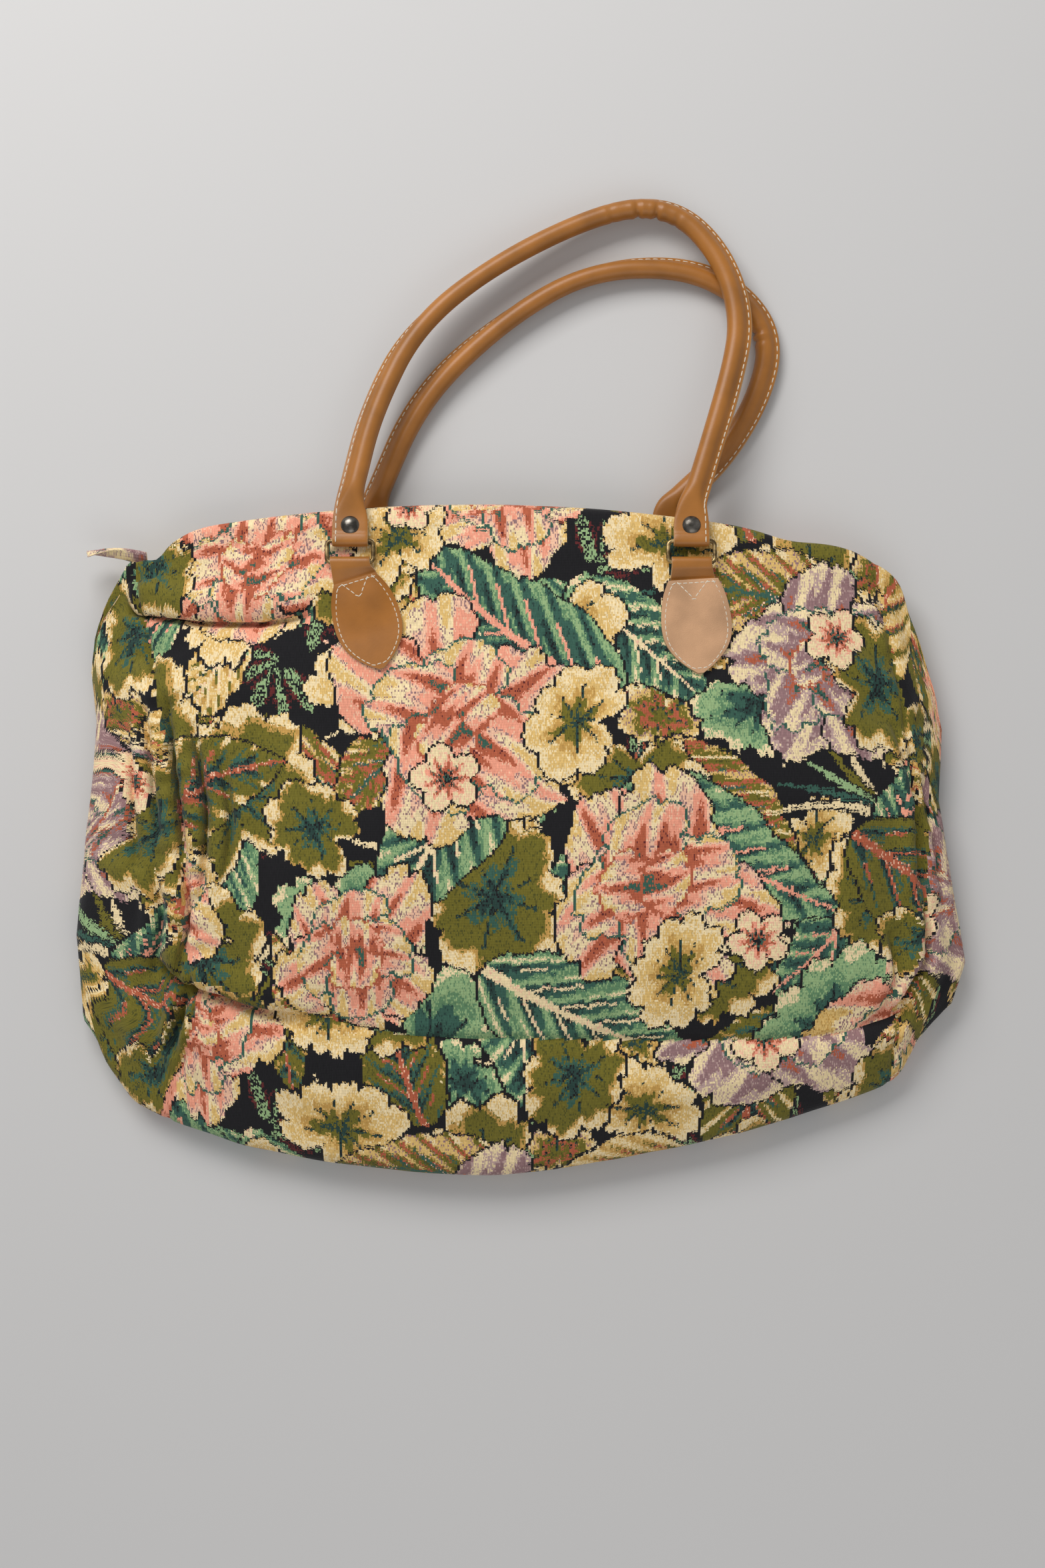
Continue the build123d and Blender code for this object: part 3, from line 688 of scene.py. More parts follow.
# Gathers beside the side seams, upright pleats that lean over the hollow next to them: points, height, width
gathers = (
    ((-215, 92), (-210, 44), (-203, -14), 5.0, 4.0),
    ((-228, 82), (-224, 40), (-217, 0), 4.2, 4.0),
    ((-199, 70), (-192, 20), (-193, -34), 5.5, 4.4),
    ((-182, 52), (-177, 12), (-180, -28), 3.4, 4.8),
    ((-238, 60), (-236, 20), (-231, -16), 3.6, 4.0),
    ((-206, -8), (-201, -40), (-206, -70), 4.6, 3.8),
    ((-222, -14), (-218, -40), (-224, -78), 3.6, 4.2),
    ((208, 70), (224, 22), (226, -28), 3.0, 4.4),
    ((228, -36), (227, -64), (214, -94), 4.4, 4.0),
    ((236, 44), (240, 6), (241, -40), 2.2, 4.0),
    ((206, -52), (210, -76), (202, -100), 2.6, 4.4),
)
for *line, height, width in gathers:
    gap, share = from_line(line, x, y)
    run = upper * np.sin(math.pi * np.clip(share, 0, 1)) ** 0.6
    lift += run * height * (1.0 * bell(gap, width) - 1.5 * bell(gap - 1.7 * width, 0.7 * width))
    shift_x += run * 0.9 * height * bell(gap - 0.6 * width, 0.9 * width)

# Slack cloth is never even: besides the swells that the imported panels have, it crumples finely
drift = np.random.default_rng(5)
for size, height in ((62, 0.5), (38, 0.3)):
    for _ in range(5):
        turn, phase = drift.uniform(0, 2 * math.pi, 2)
        c, s = math.cos(turn), math.sin(turn)
        along, across = x * c + y * s, y * c - x * s
        bent = along / size + 0.25 * np.sin(2 * math.pi * across / (1.7 * size) + phase)
        lift += (0.4 + 0.6 * upper) * height * 0.5 * np.sin(2 * math.pi * bent + phase)

# The tabs are sewn down flat, and the back lies flat on the floor
calm = np.ones_like(x)
for side in ("front", "back"):
    for end in ("left", "right"):
        for piece in ("tab_shield", "tab_loop"):
            low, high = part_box(f"{side}_{end}_{piece}")
            away_x = np.maximum(np.maximum(low.x / MM - x, x - high.x / MM), 0)
            away_y = np.maximum(np.maximum(low.y / MM - y, y - high.y / MM), 0)
            faces_up = upper if side == "front" else lower
            calm *= 1 - faces_up * (1 - ease(np.hypot(away_x, away_y), 0, 16))
top_face = np.zeros(x.shape[1])
top_face[-fan_count:] = 1
calm *= 1 - 0.8 * top_face
floor_rest = ease(base_z / MM, 0.3, 4)
lift *= calm * (upper + lower * floor_rest)

along_x = np.gradient(skin, axis=0)
along_rows = np.roll(skin, -1, 1) - np.roll(skin, 1, 1)
normal = np.cross(along_rows, along_x)
normal /= np.maximum(np.linalg.norm(normal, axis=2, keepdims=True), 1e-9)
if normal[len(normal) // 2, front_count // 2, 2] < 0:
    normal = -normal
skin += normal * lift[:, :, None] * MM
skin[:, :, 0] += shift_x * MM
skin[:, :, 1] += (shift_y * calm + top_edge) * MM
near_end = np.minimum(from_left, from_right)
thin = np.sqrt(np.clip(1 - (1 - np.clip(near_end / ROUND_OFF, 0, 1)) ** 2, 0, 1))
middle = mid_level()
skin[:, :, 2] = np.maximum(middle + (skin[:, :, 2] - middle) * thin, 0)

# Front and back meet in the fold of each gusset
opposite = (2 * front_count + fan_count - 1 - np.arange(skin.shape[1])) % skin.shape[1]
for from_fold, joined in enumerate((1.0, 0.7, 0.4, 0.15)):
    for column in (from_fold, -1 - from_fold):
        halfway = (skin[column] + skin[column, opposite]) / 2
        skin[column, :, :2] += joined * (halfway - skin[column])[:, :2]
        if from_fold == 0:
            skin[column] = halfway

# Cloth lengths along the skin, so that the weave keeps its scale round every fold
steps = np.linalg.norm(np.roll(skin, -1, 1) - skin, axis=2)
cloth_run = np.concatenate((np.zeros((len(skin), 1)), np.cumsum(steps, 1)), 1)
whole = cloth_run[:, -1:]
cloth_run = cloth_run[:, :-1]
back_start = front_count + fan_count
front_part, back_part = slice(0, front_count), slice(back_start, back_start + front_count)
front_zero = [np.interp(0, -line[front_part, 1], run[front_part]) for line, run in zip(skin, cloth_run)]
back_zero = [np.interp(0, line[back_part, 1], run[back_part]) for line, run in zip(skin, cloth_run)]
front_zero, back_zero = np.array(front_zero), np.array(back_zero)
across_steps = np.linalg.norm(np.diff(skin, axis=0), axis=2)
across = np.concatenate((np.zeros((1, skin.shape[1])), np.cumsum(across_steps, 0)), 0)
centre_column = int(np.argmin(np.abs(skin[:, 0, 0])))
across = blur(across - across[centre_column : centre_column + 1], 6, 1, True)

columns_count, rows_count = skin.shape[:2]
column_index, row_index = np.meshgrid(np.arange(columns_count - 1), np.arange(rows_count), indexing="ij")
column_index, row_index = column_index.ravel(), row_index.ravel()
next_row = (row_index + 1) % rows_count
corners = np.stack(
    (
        column_index * rows_count + row_index,
        column_index * rows_count + next_row,
        (column_index + 1) * rows_count + next_row,
        (column_index + 1) * rows_count + row_index,
    ),
    1,
)
points = skin.reshape(-1, 3)
a, b, c = (points[corners[:, k]] for k in range(3))
facing = np.cross(b - a, c - a)[(columns_count // 2) * rows_count + front_count // 2]
if facing[2] < 0:
    corners = corners[:, ::-1]
middle_points = points[corners].mean(1)
face_x, face_y, face_z = (middle_points / MM).T
in_top = row_index >= rows_count - fan_count
is_back = (row_index >= back_start) & (row_index < back_start + front_count)
is_back |= in_top & (face_z < ZIP_LEVEL / MM)
seam_side = {}
for name, lines in (("left", left_seam + left_heel[1:]), ("right", right_seam)):
    ordered = sorted(lines, key=lambda p: p[1])
    seam_side[name] = np.interp(face_y, [p[1] for p in ordered], [p[0] for p in ordered])
seam_low = np.interp(face_x, [p[0] for p in bottom_seam], [p[1] for p in bottom_seam])
panel = np.where(is_back, 1, 0)
panel[(face_y < seam_low) & ~in_top] = 2
panel[face_x < seam_side["left"]] = 3
panel[face_x > seam_side["right"]] = 4
zip_gap = in_top & (np.abs(face_z - ZIP_LEVEL / MM) < ZIP_WINDOW / MM)
zip_gap &= (face_x > ZIP_SPAN[0] / MM) & (face_x < ZIP_SPAN[1] / MM)

# Where each panel was cut from the cloth, as shares of the repeat
CUT_SHARES = {
    "front_panel": (0.0, 0.0),
    "back_panel": (0.45, 0.3),
    "base_panel": (0.3, 0.62),
    "left_side_panel": (0.72, 0.15),
    "right_side_panel": (0.15, 0.5),
}


def colour_stitches(mesh, column, row, turned):
    """Give each corner its stitch's yarn, its flecks with their share, and the yarn of the stitch above."""
    column, row = column % REPEAT_COLUMNS, row % REPEAT_ROWS
    for title, woven, at_row, alpha in (
        ("yarn", figure, row, np.ones(len(row))),
        ("fleck", fleck, row, density[row, column]),
        ("above", figure, (row + 1) % REPEAT_ROWS, turned),
    ):
        attribute = mesh.color_attributes.new(title, "FLOAT_COLOR", "CORNER")
        values = np.column_stack((yarn_colours[woven[at_row, column]], alpha))
        attribute.data.foreach_set("color", values.ravel())


def sew_panel(number, name):
    """One panel of the skin as a piece, with its cloth lengths as UV and its stitches as colours."""
    mine = (panel == number) & ~zip_gap
    faces = corners[mine]
    used, small = np.unique(faces, return_inverse=True)
    small = small.reshape(faces.shape)
    mesh = bpy.data.meshes.new(name)
    mesh.vertices.add(len(used))
    mesh.vertices.foreach_set("co", points[used].ravel())
    mesh.loops.add(small.size)
    mesh.loops.foreach_set("vertex_index", small.ravel())
    mesh.polygons.add(len(small))
    mesh.polygons.foreach_set("loop_start", np.arange(0, small.size, 4))
    mesh.update(calc_edges=True)
    at_column, at_row = faces // rows_count, faces % rows_count
    u = across[at_column, at_row]
    v = front_zero[at_column] - cloth_run[at_column, at_row]
    over_top = at_row >= rows_count - fan_count
    v = np.where(over_top, front_zero[at_column] + (whole[at_column, 0] - cloth_run[at_column, at_row]), v)
    if name == "back_panel":
        u, v = -u, cloth_run[at_column, at_row] - back_zero[at_column]
    elif name.endswith("side_panel"):
        # A gusset is folded along the bag's end, so its back half runs on beyond the fold
        ending = across[0 if name.startswith("left") else -1]
        behind = is_back[mine][:, None]
        u = np.where(behind, ending[opposite[at_row]] + ending[at_row] - u, u)
        v = np.where(behind, cloth_run[at_column, at_row] - back_zero[at_column], v)
    cut = CUT_SHARES[name]
    u = u + cut[0] * REPEAT_COLUMNS * STITCH
    v = v + cut[1] * REPEAT_ROWS * STITCH
    layer = mesh.uv_layers.new(name="cloth")
    layer.data.foreach_set("uv", np.stack((u, v), 2).ravel())
    stitch_column, stitch_row = (np.repeat(np.floor(way.mean(1) / STITCH).astype(int), 4) for way in (u, v))
    colour_stitches(mesh, stitch_column, stitch_row, (v > v.mean(1, keepdims=True)).ravel())
    mesh.polygons.foreach_set("use_smooth", np.ones(len(small), bool))
    mesh.materials.append(tapestry)
    piece = bpy.data.objects.new(name.replace("panel", "cloth"), mesh)
    bpy.context.scene.collection.objects.link(piece)
    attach(piece, "bag")
    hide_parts(name)
    return piece


cloth_pieces = {name: sew_panel(number, name) for number, name in enumerate(PANELS)}

# Handles: smooth tan leather rolled round a cord and sewn shut, so that a flat flange with cream stitching
# stands on the outer side of each bow. Towards its ends the roll opens into a flat strap, which wraps over
# the ring's bar, returns behind itself and is closed by a rivet.
STRAP_HALF = 10.4
LEATHER = 2.0
TUBE_RADIUS = 5.5
FLANGE_EDGE = 9.0
RING_PITCH = 12.5
WRAP_RADIUS = 2.45
PROFILE_POINTS = 44
TAB_BAR = 162.5
SADDLE_PITCH = 4.2
# Length, width and height of a stitch in mm
SADDLE_STITCH = (3.5, 0.7, 0.6)


class HandlePlane:
    """The plane a handle lies in: across is X, along runs away from the tab bar, out is its normal."""

    def __init__(self, level, tilt):
        self.tilt = tilt
        self.origin = np.array((0, TAB_BAR * MM, level))
        self.along = np.array((0, math.cos(tilt), -math.sin(tilt)))
        self.out = np.array((0, math.sin(tilt), math.cos(tilt)))

    def place(self, points):
        """World places of points in mm of the plane."""
        points = np.asarray(points, float) * MM
        world = self.origin + points[..., 1:2] * self.along + points[..., 2:3] * self.out
        world[..., 0] += points[..., 0]
        return world

    def turn(self, directions):
        """World directions of directions in the plane."""
        directions = np.asarray(directions, float)
        world = directions[..., 1:2] * self.along + directions[..., 2:3] * self.out
        world[..., 0] += directions[..., 0]
        return world


# Height of the tab bar and tilt of each plane, as packed
front_plane = HandlePlane(0.0385313, 0.125041)
back_plane = HandlePlane(0.0055, 0.0)


def mottled(node, scale, detail, darker, lighter):
    """Two tones, each given with its place on the ramp, mixed by a noise that lies on the piece."""
    place = node("ShaderNodeTexCoord", {})["Object"]
    noise = node("ShaderNodeTexNoise", {"Vector": place, "Scale": scale, "Detail": detail})
    mixed = node("ShaderNodeValToRGB", {"Fac": noise["Fac"]})["Color"]
    for stop, (position, colour) in zip(mixed.node.color_ramp.elements, (darker, lighter)):
        stop.position = position
        stop.color = colour + (1,)
    return mixed


def shades_of(colour, *shares):
    return [tuple(min(c * share, 1) for c in colour) for share in shares]


def leather_material(name, colour, roughness, gloss, grain_size, grain_depth, edge_colour=None):
    """Leather with a fine grain and uneven dye, paler at cut edges where the piece carries an edge value."""
    material, node, shade = new_material(name)
    dark, light = shades_of(colour, 0.82, 1.12)
    tone = mottled(node, 45, 3, (0.32, dark), (0.68, light))
    if edge_colour:
        edge = node("ShaderNodeAttribute", {}, attribute_name="edge")["Fac"]
        layers = {"Factor": edge, "A": tone, "B": edge_colour + (1,)}
        tone = node("ShaderNodeMix", layers, data_type="RGBA")["Result"]
    place = node("ShaderNodeTexCoord", {})["Object"]
    grain = node("ShaderNodeTexNoise", {"Vector": place, "Scale": grain_size, "Detail": 4})
    bump = node("ShaderNodeBump", {"Height": grain["Fac"], "Strength": grain_depth, "Distance": 0.0004})
    shade({"Base Color": tone, "Normal": bump[0], "Roughness": roughness, "Specular IOR Level": gloss})
    return material


def two_tone_material(name, scale, detail, darker, lighter, metallic, roughness):
    """Thread, wire or tape whose tone changes finely over its surface."""
    material, node, shade = new_material(name)
    tone = mottled(node, scale, detail, darker, lighter)
    shade({"Base Color": tone, "Metallic": metallic, "Roughness": roughness})
    return material


PALE_EDGE = (0.52, 0.32, 0.15)
tan_leather = leather_material("tan_leather", (0.36, 0.138, 0.024), 0.38, 0.4, 900, 0.12, PALE_EDGE)
# Waxed cotton, its twist seen as fine light and dark
thread_dark, thread_light = (0.35, (0.58, 0.50, 0.38)), (0.65, (0.80, 0.73, 0.60))
cream_thread = two_tone_material("cream_thread", 2600, 2, thread_dark, thread_light, 0.0, 0.7)


def make_piece(name, points, faces, material):
    """A new object from points and faces, its faces turned outwards."""
    mesh = bpy.data.meshes.new(name)
    mesh.from_pydata([tuple(p) for p in points], [], [tuple(int(i) for i in f) for f in faces])
    form = bmesh.new()
    form.from_mesh(mesh)
    bmesh.ops.recalc_face_normals(form, faces=form.faces)
    form.to_mesh(mesh)
    form.free()
    mesh.polygons.foreach_set("use_smooth", np.ones(len(mesh.polygons), bool))
    mesh.materials.append(material)
    piece = bpy.data.objects.new(name, mesh)
    bpy.context.scene.collection.objects.link(piece)
    return piece


def skin_rings(rings):
    """Faces between rows of closed rings of points, with a cap at both ends."""
    count, size = rings.shape[:2]
    faces = []
    for k in range(count - 1):
        for i in range(size):
            j = (i + 1) % size
            faces.append((k * size + i, k * size + j, (k + 1) * size + j, (k + 1) * size + i))
    faces.append(tuple(range(size)))
    faces.append(tuple((count - 1) * size + i for i in range(size)))
    return rings.reshape(-1, 3), faces


def even_path(points, step):
    """A line of points at even steps."""
    points = np.asarray(points, float)
    done = np.concatenate(((0,), np.cumsum(np.linalg.norm(np.diff(points, axis=0), axis=1))))
    places = np.linspace(0, done[-1], max(2, round(done[-1] / step) + 1))
    return np.stack([np.interp(places, done, points[:, axis]) for axis in range(points.shape[1])], 1)


def rounded_path(corners, rounds=5):
    """A smooth line that starts and ends at the first and last corner and cuts the others."""
    line = np.asarray(corners, float)
    for _ in range(rounds):
        near = 0.75 * line[:-1] + 0.25 * line[1:]
        far = 0.25 * line[:-1] + 0.75 * line[1:]
        cut = np.stack((near, far), 1).reshape(-1, line.shape[1])
        line = np.vstack((line[:1], cut[1:-1], line[-1:]))
    return line


def one_stitch():
    """A short bar of thread one unit long that dips at both ends, modelled once along X."""
    bpy.ops.object.select_all(action="DESELECT")
    bpy.ops.mesh.primitive_uv_sphere_add(segments=6, ring_count=6, radius=0.5, rotation=(0, math.pi / 2, 0))
    bar = bpy.context.object
    bpy.ops.object.transform_apply(location=False, rotation=True, scale=False)
    points = np.array([tuple(v.co) for v in bar.data.vertices])
    faces = [tuple(p.vertices) for p in bar.data.polygons]
    bpy.data.objects.remove(bar)
    way = 2 * points[:, 0]
    points[:, 1] *= 1 + 0.5 * way**2
    points[:, 2] -= 0.35 * way**4
    return points, faces


stitch_points, stitch_faces = one_stitch()


def sew(name, stitches, size):
    """Copies of the stitch as one piece, each at a place in metres with its direction and its normal."""
    length, width, height = size
    points, faces = [], []
    for place, along, up in stitches:
        frame_of_stitch = np.array((along * length, np.cross(up, along) * width, up * height)) * MM
        faces += [tuple(len(points) + i for i in face) for face in stitch_faces]
        points += list(place + stitch_points @ frame_of_stitch)
    return make_piece(name, points, faces, cream_thread)


def roll_profile():
    """Cross section of the rolled leather in mm: a round with the sewn flange on its outer side."""
    arc = np.linspace(math.radians(42), math.radians(318), PROFILE_POINTS - 14)
    round_part = np.stack((TUBE_RADIUS * np.cos(arc), TUBE_RADIUS * np.sin(arc)), 1)
    rim = ((FLANGE_EDGE, 0.0), (FLANGE_EDGE, 0.75), (8.8, 1.25), (8.2, 1.42))
    upper = np.array(rim + ((7.2, 1.35), (6.3, 1.5), (5.3, 2.35)))
    return np.vstack((upper, round_part, upper[::-1] * (1, -1)))


def strap_profile(half):
    """Cross section of the flat strap in mm: a thin slab with rounded edges."""
    turn = np.linspace(0, 2 * math.pi, PROFILE_POINTS, endpoint=False)
    c, s = np.cos(turn), np.sin(turn)
    return np.stack((half * signed_power(c, 0.35), 0.5 * LEATHER * signed_power(s, 0.6)), 1)


def make_handle(name, plane, ring_places, route, droop, raised, creases):
    """One handle with its straps and stitching; route is its bow in mm of the plane."""
    left, right = ring_places
    turns = np.radians(np.linspace(-90, -270, 13))
    wrap = np.stack((RING_PITCH + WRAP_RADIUS * np.cos(turns), WRAP_RADIUS * np.sin(turns)), 1)
    behind, ahead = ((33, -1.3), (22, -1.3), (17, -1.5)), ((15.4, 2.25), (16.7, 1.5), (18, 1.35), (20, 1.35))
    side = np.vstack((behind, wrap, ahead))
    start, finish = (even_path(np.column_stack((np.full(len(side), at), side)), 0.9) for at in ring_places)
    finish = finish[::-1]
    bow = [(left, 20, 1.35), (left, 27, 1.2), (left + 0.4, 35, 0.6)]
    bow += [(x, along, 0) for x, along in route]
    bow += [(right - 0.4, 35, 0.6), (right, 27, 1.2), (right, 20, 1.35)]
    bow = even_path(rounded_path(bow), 1.7)
    line = np.vstack((start[:-1], bow, finish[1:]))
    run = np.concatenate(((0,), np.cumsum(np.linalg.norm(np.diff(line, axis=0), axis=1))))
    heading = np.gradient(line, axis=0)
    heading /= np.linalg.norm(heading, axis=1, keepdims=True)
    outward = np.stack((-heading[:, 1], heading[:, 0], np.zeros(len(line))), 1)
    outward[: len(start)] = (-1, 0, 0)
    outward[-len(finish) :] = (1, 0, 0)
    outward /= np.linalg.norm(outward, axis=1, keepdims=True)
    up = np.cross(heading, outward)
    from_strap = np.minimum(run - run[len(start)], run[-len(finish)] - run)
    rolled = ease(from_strap, 3, 27)
    narrow = ease(from_strap, -4, 20)
    middle = (run[len(start)] + run[-len(finish)]) / 2
    bow_half = middle - run[len(start)]
    turned_under = bell((run - middle) / bow_half + 0.2, 0.38) * rolled
    tilt = droop * turned_under
    line[:, 2] += raised * turned_under
    hidden_layer = np.minimum(run, run[-1] - run)
    tucked_in = 3.0 * (1 - ease(hidden_layer, 0, 9)) + 0.9 * (1 - ease(hidden_layer, 13, 21))

    rings, edges, stitches = [], [], []
    round_form = roll_profile()
    phases = np.random.default_rng(len(name)).uniform(0, 6.28, 3)
    for k in range(len(line)):
        flat_form = strap_profile(STRAP_HALF - 1.2 * narrow[k] - tucked_in[k])
        swell = 1 + 0.012 * math.sin(run[k] / 23 + phases[0]) + 0.008 * math.sin(run[k] / 9 + phases[1])
        form = flat_form * (1 - rolled[k]) + round_form * swell * rolled[k]
        inner = np.clip(0.45 - 0.75 * form[:, 0] / TUBE_RADIUS, 0, 1)
        for crease_place, depth in creases:
            away = abs(run[k] - run[0] - crease_place)
            dent = depth * (bell(away, 1.2) - 0.3 * bell(away - 3.2, 1.8))
            form = form * (1 - (dent * inner / TUBE_RADIUS))[:, None]
        c, s = math.cos(tilt[k]), math.sin(tilt[k])
        across = form[:, 0] * c + form[:, 1] * s
        height = form[:, 1] * c - form[:, 0] * s
        rings.append(line[k] + across[:, None] * outward[k] + height[:, None] * up[k])
        reach = form[:, 0] / (FLANGE_EDGE * rolled[k] + STRAP_HALF * (1 - rolled[k]))
        edges.append(ease(np.abs(reach) if rolled[k] < 0.5 else reach, 0.955, 0.985))
    points, faces = skin_rings(plane.place(np.array(rings)))
    leather = make_piece(name + "_leather", points, faces, tan_leather)
    paler = leather.data.attributes.new("edge", "FLOAT", "POINT")
    paler.data.foreach_set("value", 0.75 * np.concatenate(edges))

    # Saddle stitches along the flange and down the outer edge of both straps, on both of its faces
    first, last = run[len(start)] - 9, run[-len(finish)] + 9
    courses = np.column_stack((line, heading, outward, up, rolled, tilt)).T
    for side_sign, spared in ((1, 0), (-1, 32)):
        for at in np.arange(first + spared, last - spared, SADDLE_PITCH):
            here = np.array([np.interp(at, run, course) for course in courses])
            spot, forward, out_way, up_way = here[:12].reshape(4, 3)
            share, lean = here[12:]
            across = share * 7.25 + (1 - share) * (STRAP_HALF - 2.2)
            height = side_sign * (share * 1.36 + (1 - share) * 0.5 * LEATHER)
            c, s = math.cos(lean), math.sin(lean)
            place = spot + out_way * (across * c + height * s) + up_way * (height * c - across * s)
            normal_way = side_sign * (up_way * c + out_way * s)
            forward, normal_way = plane.turn(forward), plane.turn(normal_way)
            place = plane.place(place + 0.06 * side_sign * up_way)
            forward, normal_way = (way / np.linalg.norm(way) for way in (forward, normal_way))
            stitches.append((place, forward, normal_way))
    sewing = sew(name + "_stitches", stitches, SADDLE_STITCH)
    for piece in (leather, sewing):
        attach(piece, name)
    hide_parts(name)


FRONT_RINGS = (-100.0, 98.0)
BACK_RINGS = (-88.0, 86.0)
front_route = (
    (-97.5, 44.4), (-87.0, 89.5), (-62.0, 142.6), (-12.0, 182.6), (54.0, 214.0),
    (90.0, 213.0), (116.0, 185.0), (127.5, 148.4), (122.5, 115.5), (102.0, 48.5),
)
back_route = (
    (-86.0, 40.5), (-60.0, 100.5), (-10.0, 147.5), (40.0, 176.0), (95.0, 178.0),
    (130.0, 161.5), (147.0, 134.5), (138.0, 98.6), (115.0, 63.5), (90.0, 41.0),
)
front_creases = ((298, 0.5), (314, 1.5), (326, 1.6), (340, 0.5))
back_creases = ((362, 1.7), (368, 1.0))
make_handle("front_handle", front_plane, FRONT_RINGS, front_route, 1.3, 0.0, front_creases)
make_handle("back_handle", back_plane, BACK_RINGS, back_route, 0.95, 2.7, back_creases)

# Rivets: domed heads of dark antiqued nickel through both layers of each strap, with a flatter cap behind.
# Each is raised from a short round blank, step by step towards its middle.
RIVET_PLACE = 21.5
STRAP_FACE = 2.35
DOME_RADIUS, DOME_STEPS = 5.3, ((0.1, 0.1), (0.35, 0.35), (0.65, 0.6), (1.2, 0.65), (1.4, 0.38), (1.2, 0.12))
CAP_RADIUS, CAP_STEPS = 4.0, ((0.05, 0.25), (0.35, 0.45), (1.0, 0.3), (1.6, 0.1))
# Antiqued nickel, darker where the finish has worn in
nickel_dark, nickel_light = (0.35, (0.07, 0.062, 0.052)), (0.7, (0.20, 0.18, 0.155))
antique_nickel = two_tone_material("antique_nickel", 260, 2, nickel_dark, nickel_light, 0.9, 0.28)


def raised_head(radius, steps):
    """A round blank whose upper face is drawn in and up, step by step, in mm."""
    bpy.ops.object.select_all(action="DESELECT")
    bpy.ops.mesh.primitive_cylinder_add(vertices=32, radius=radius * MM, depth=0.4 * MM)
    head = bpy.context.object
    bpy.ops.object.mode_set(mode="EDIT")
    bpy.ops.mesh.select_mode(type="FACE")
    bpy.ops.mesh.select_all(action="DESELECT")
    form = bmesh.from_edit_mesh(head.data)
    for face in form.faces:
        face.select_set(face.normal.z > 0.9)
    bmesh.update_edit_mesh(head.data)
    for inward, rise in steps:
        bpy.ops.mesh.inset(thickness=inward * MM, depth=rise * MM)
    bpy.ops.object.mode_set(mode="OBJECT")
    bpy.ops.object.shade_smooth()
    head.data.materials.append(antique_nickel)
    return head


def set_down(model, name, place, turn):
    """A copy of a modelled piece at its place, turned about X, with its place put into its mesh."""
    bpy.ops.object.select_all(action="DESELECT")
    model.select_set(True)
    bpy.context.view_layer.objects.active = model
    bpy.ops.object.duplicate(linked=False)
    copy = bpy.context.object
    copy.name = name
    copy.location = place
    copy.rotation_euler = (turn, 0, 0)
    bpy.ops.object.transform_apply(location=True, rotation=True, scale=True)
    return copy


dome = raised_head(DOME_RADIUS, DOME_STEPS)
cap = raised_head(CAP_RADIUS, CAP_STEPS)
HANDLE_SIDES = (("front", front_plane, FRONT_RINGS), ("back", back_plane, BACK_RINGS))
FACING = {"front": 1, "back": -1}
for side, plane, places in HANDLE_SIDES:
    outer = FACING[side]
    heads = []
    for at in places:
        for model, way in ((dome, outer), (cap, -outer)):
            place = plane.place((at, RIVET_PLACE, way * STRAP_FACE))
            turn = -plane.tilt if way > 0 else math.pi - plane.tilt
            heads.append(set_down(model, f"{side}_rivet_domes", place, turn))
    bpy.ops.object.select_all(action="DESELECT")
    for head in heads:
        head.select_set(True)
    bpy.context.view_layer.objects.active = heads[0]
    bpy.ops.object.join()
    rivets = bpy.context.object
    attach(rivets, f"{side}_handle")
    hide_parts(f"{side}_handle_rivets")
for model in (dome, cap):
    bpy.data.objects.remove(model)

# Rings: rectangular links of round brass wire with tight bent corners, dark with age and bright where they
# rub. One is bent from wire and copied to the four tabs.
WIRE = 1.25
RING_HALF = 13.5
RING_CORNER = 2.6
# Aged brass, brown in the hollows and gold where it is rubbed
brass_dark, brass_light = (0.42, (0.12, 0.078, 0.034)), (0.66, (0.56, 0.40, 0.18))
antique_brass = two_tone_material("antique_brass", 190, 3, brass_dark, brass_light, 0.85, 0.34)


def bent_ring():
    """A rounded rectangle of wire, lying flat about its middle."""
    bpy.ops.object.select_all(action="DESELECT")
    bpy.ops.mesh.primitive_plane_add(size=1)
    bpy.context.object.scale = (2 * RING_HALF * MM, RING_PITCH * MM, 1)
    bpy.ops.object.transform_apply(location=False, rotation=False, scale=True)
    bpy.ops.object.mode_set(mode="EDIT")
    bpy.ops.mesh.select_all(action="SELECT")
    bpy.ops.mesh.bevel(offset=RING_CORNER * MM, segments=6, affect="VERTICES")
    bpy.ops.mesh.delete(type="ONLY_FACE")
    bpy.ops.object.mode_set(mode="OBJECT")
    bpy.ops.object.convert(target="CURVE")
    wire = bpy.context.object.data
    wire.dimensions = "3D"
    wire.fill_mode = "FULL"
    wire.bevel_depth = WIRE * MM
    wire.bevel_resolution = 6
    bpy.ops.object.convert(target="MESH")
    bpy.ops.object.mode_set(mode="EDIT")
    bpy.ops.mesh.select_all(action="SELECT")
    bpy.ops.mesh.remove_doubles(threshold=0.01 * MM)
    bpy.ops.mesh.normals_make_consistent(inside=False)
    bpy.ops.object.mode_set(mode="OBJECT")
    bpy.ops.object.shade_smooth()
    ring = bpy.context.object
    ring.data.materials.clear()
    ring.data.materials.append(antique_brass)
    return ring


ring = bent_ring()
for side, plane, places in HANDLE_SIDES:
    for end, at in zip(("left", "right"), places):
        link = set_down(ring, f"{side}_{end}_link", plane.place((at, RING_PITCH / 2, 0)), -plane.tilt)
        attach(link, f"{side}_{end}_ring")
        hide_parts(f"{side}_{end}_ring")
bpy.data.objects.remove(ring)

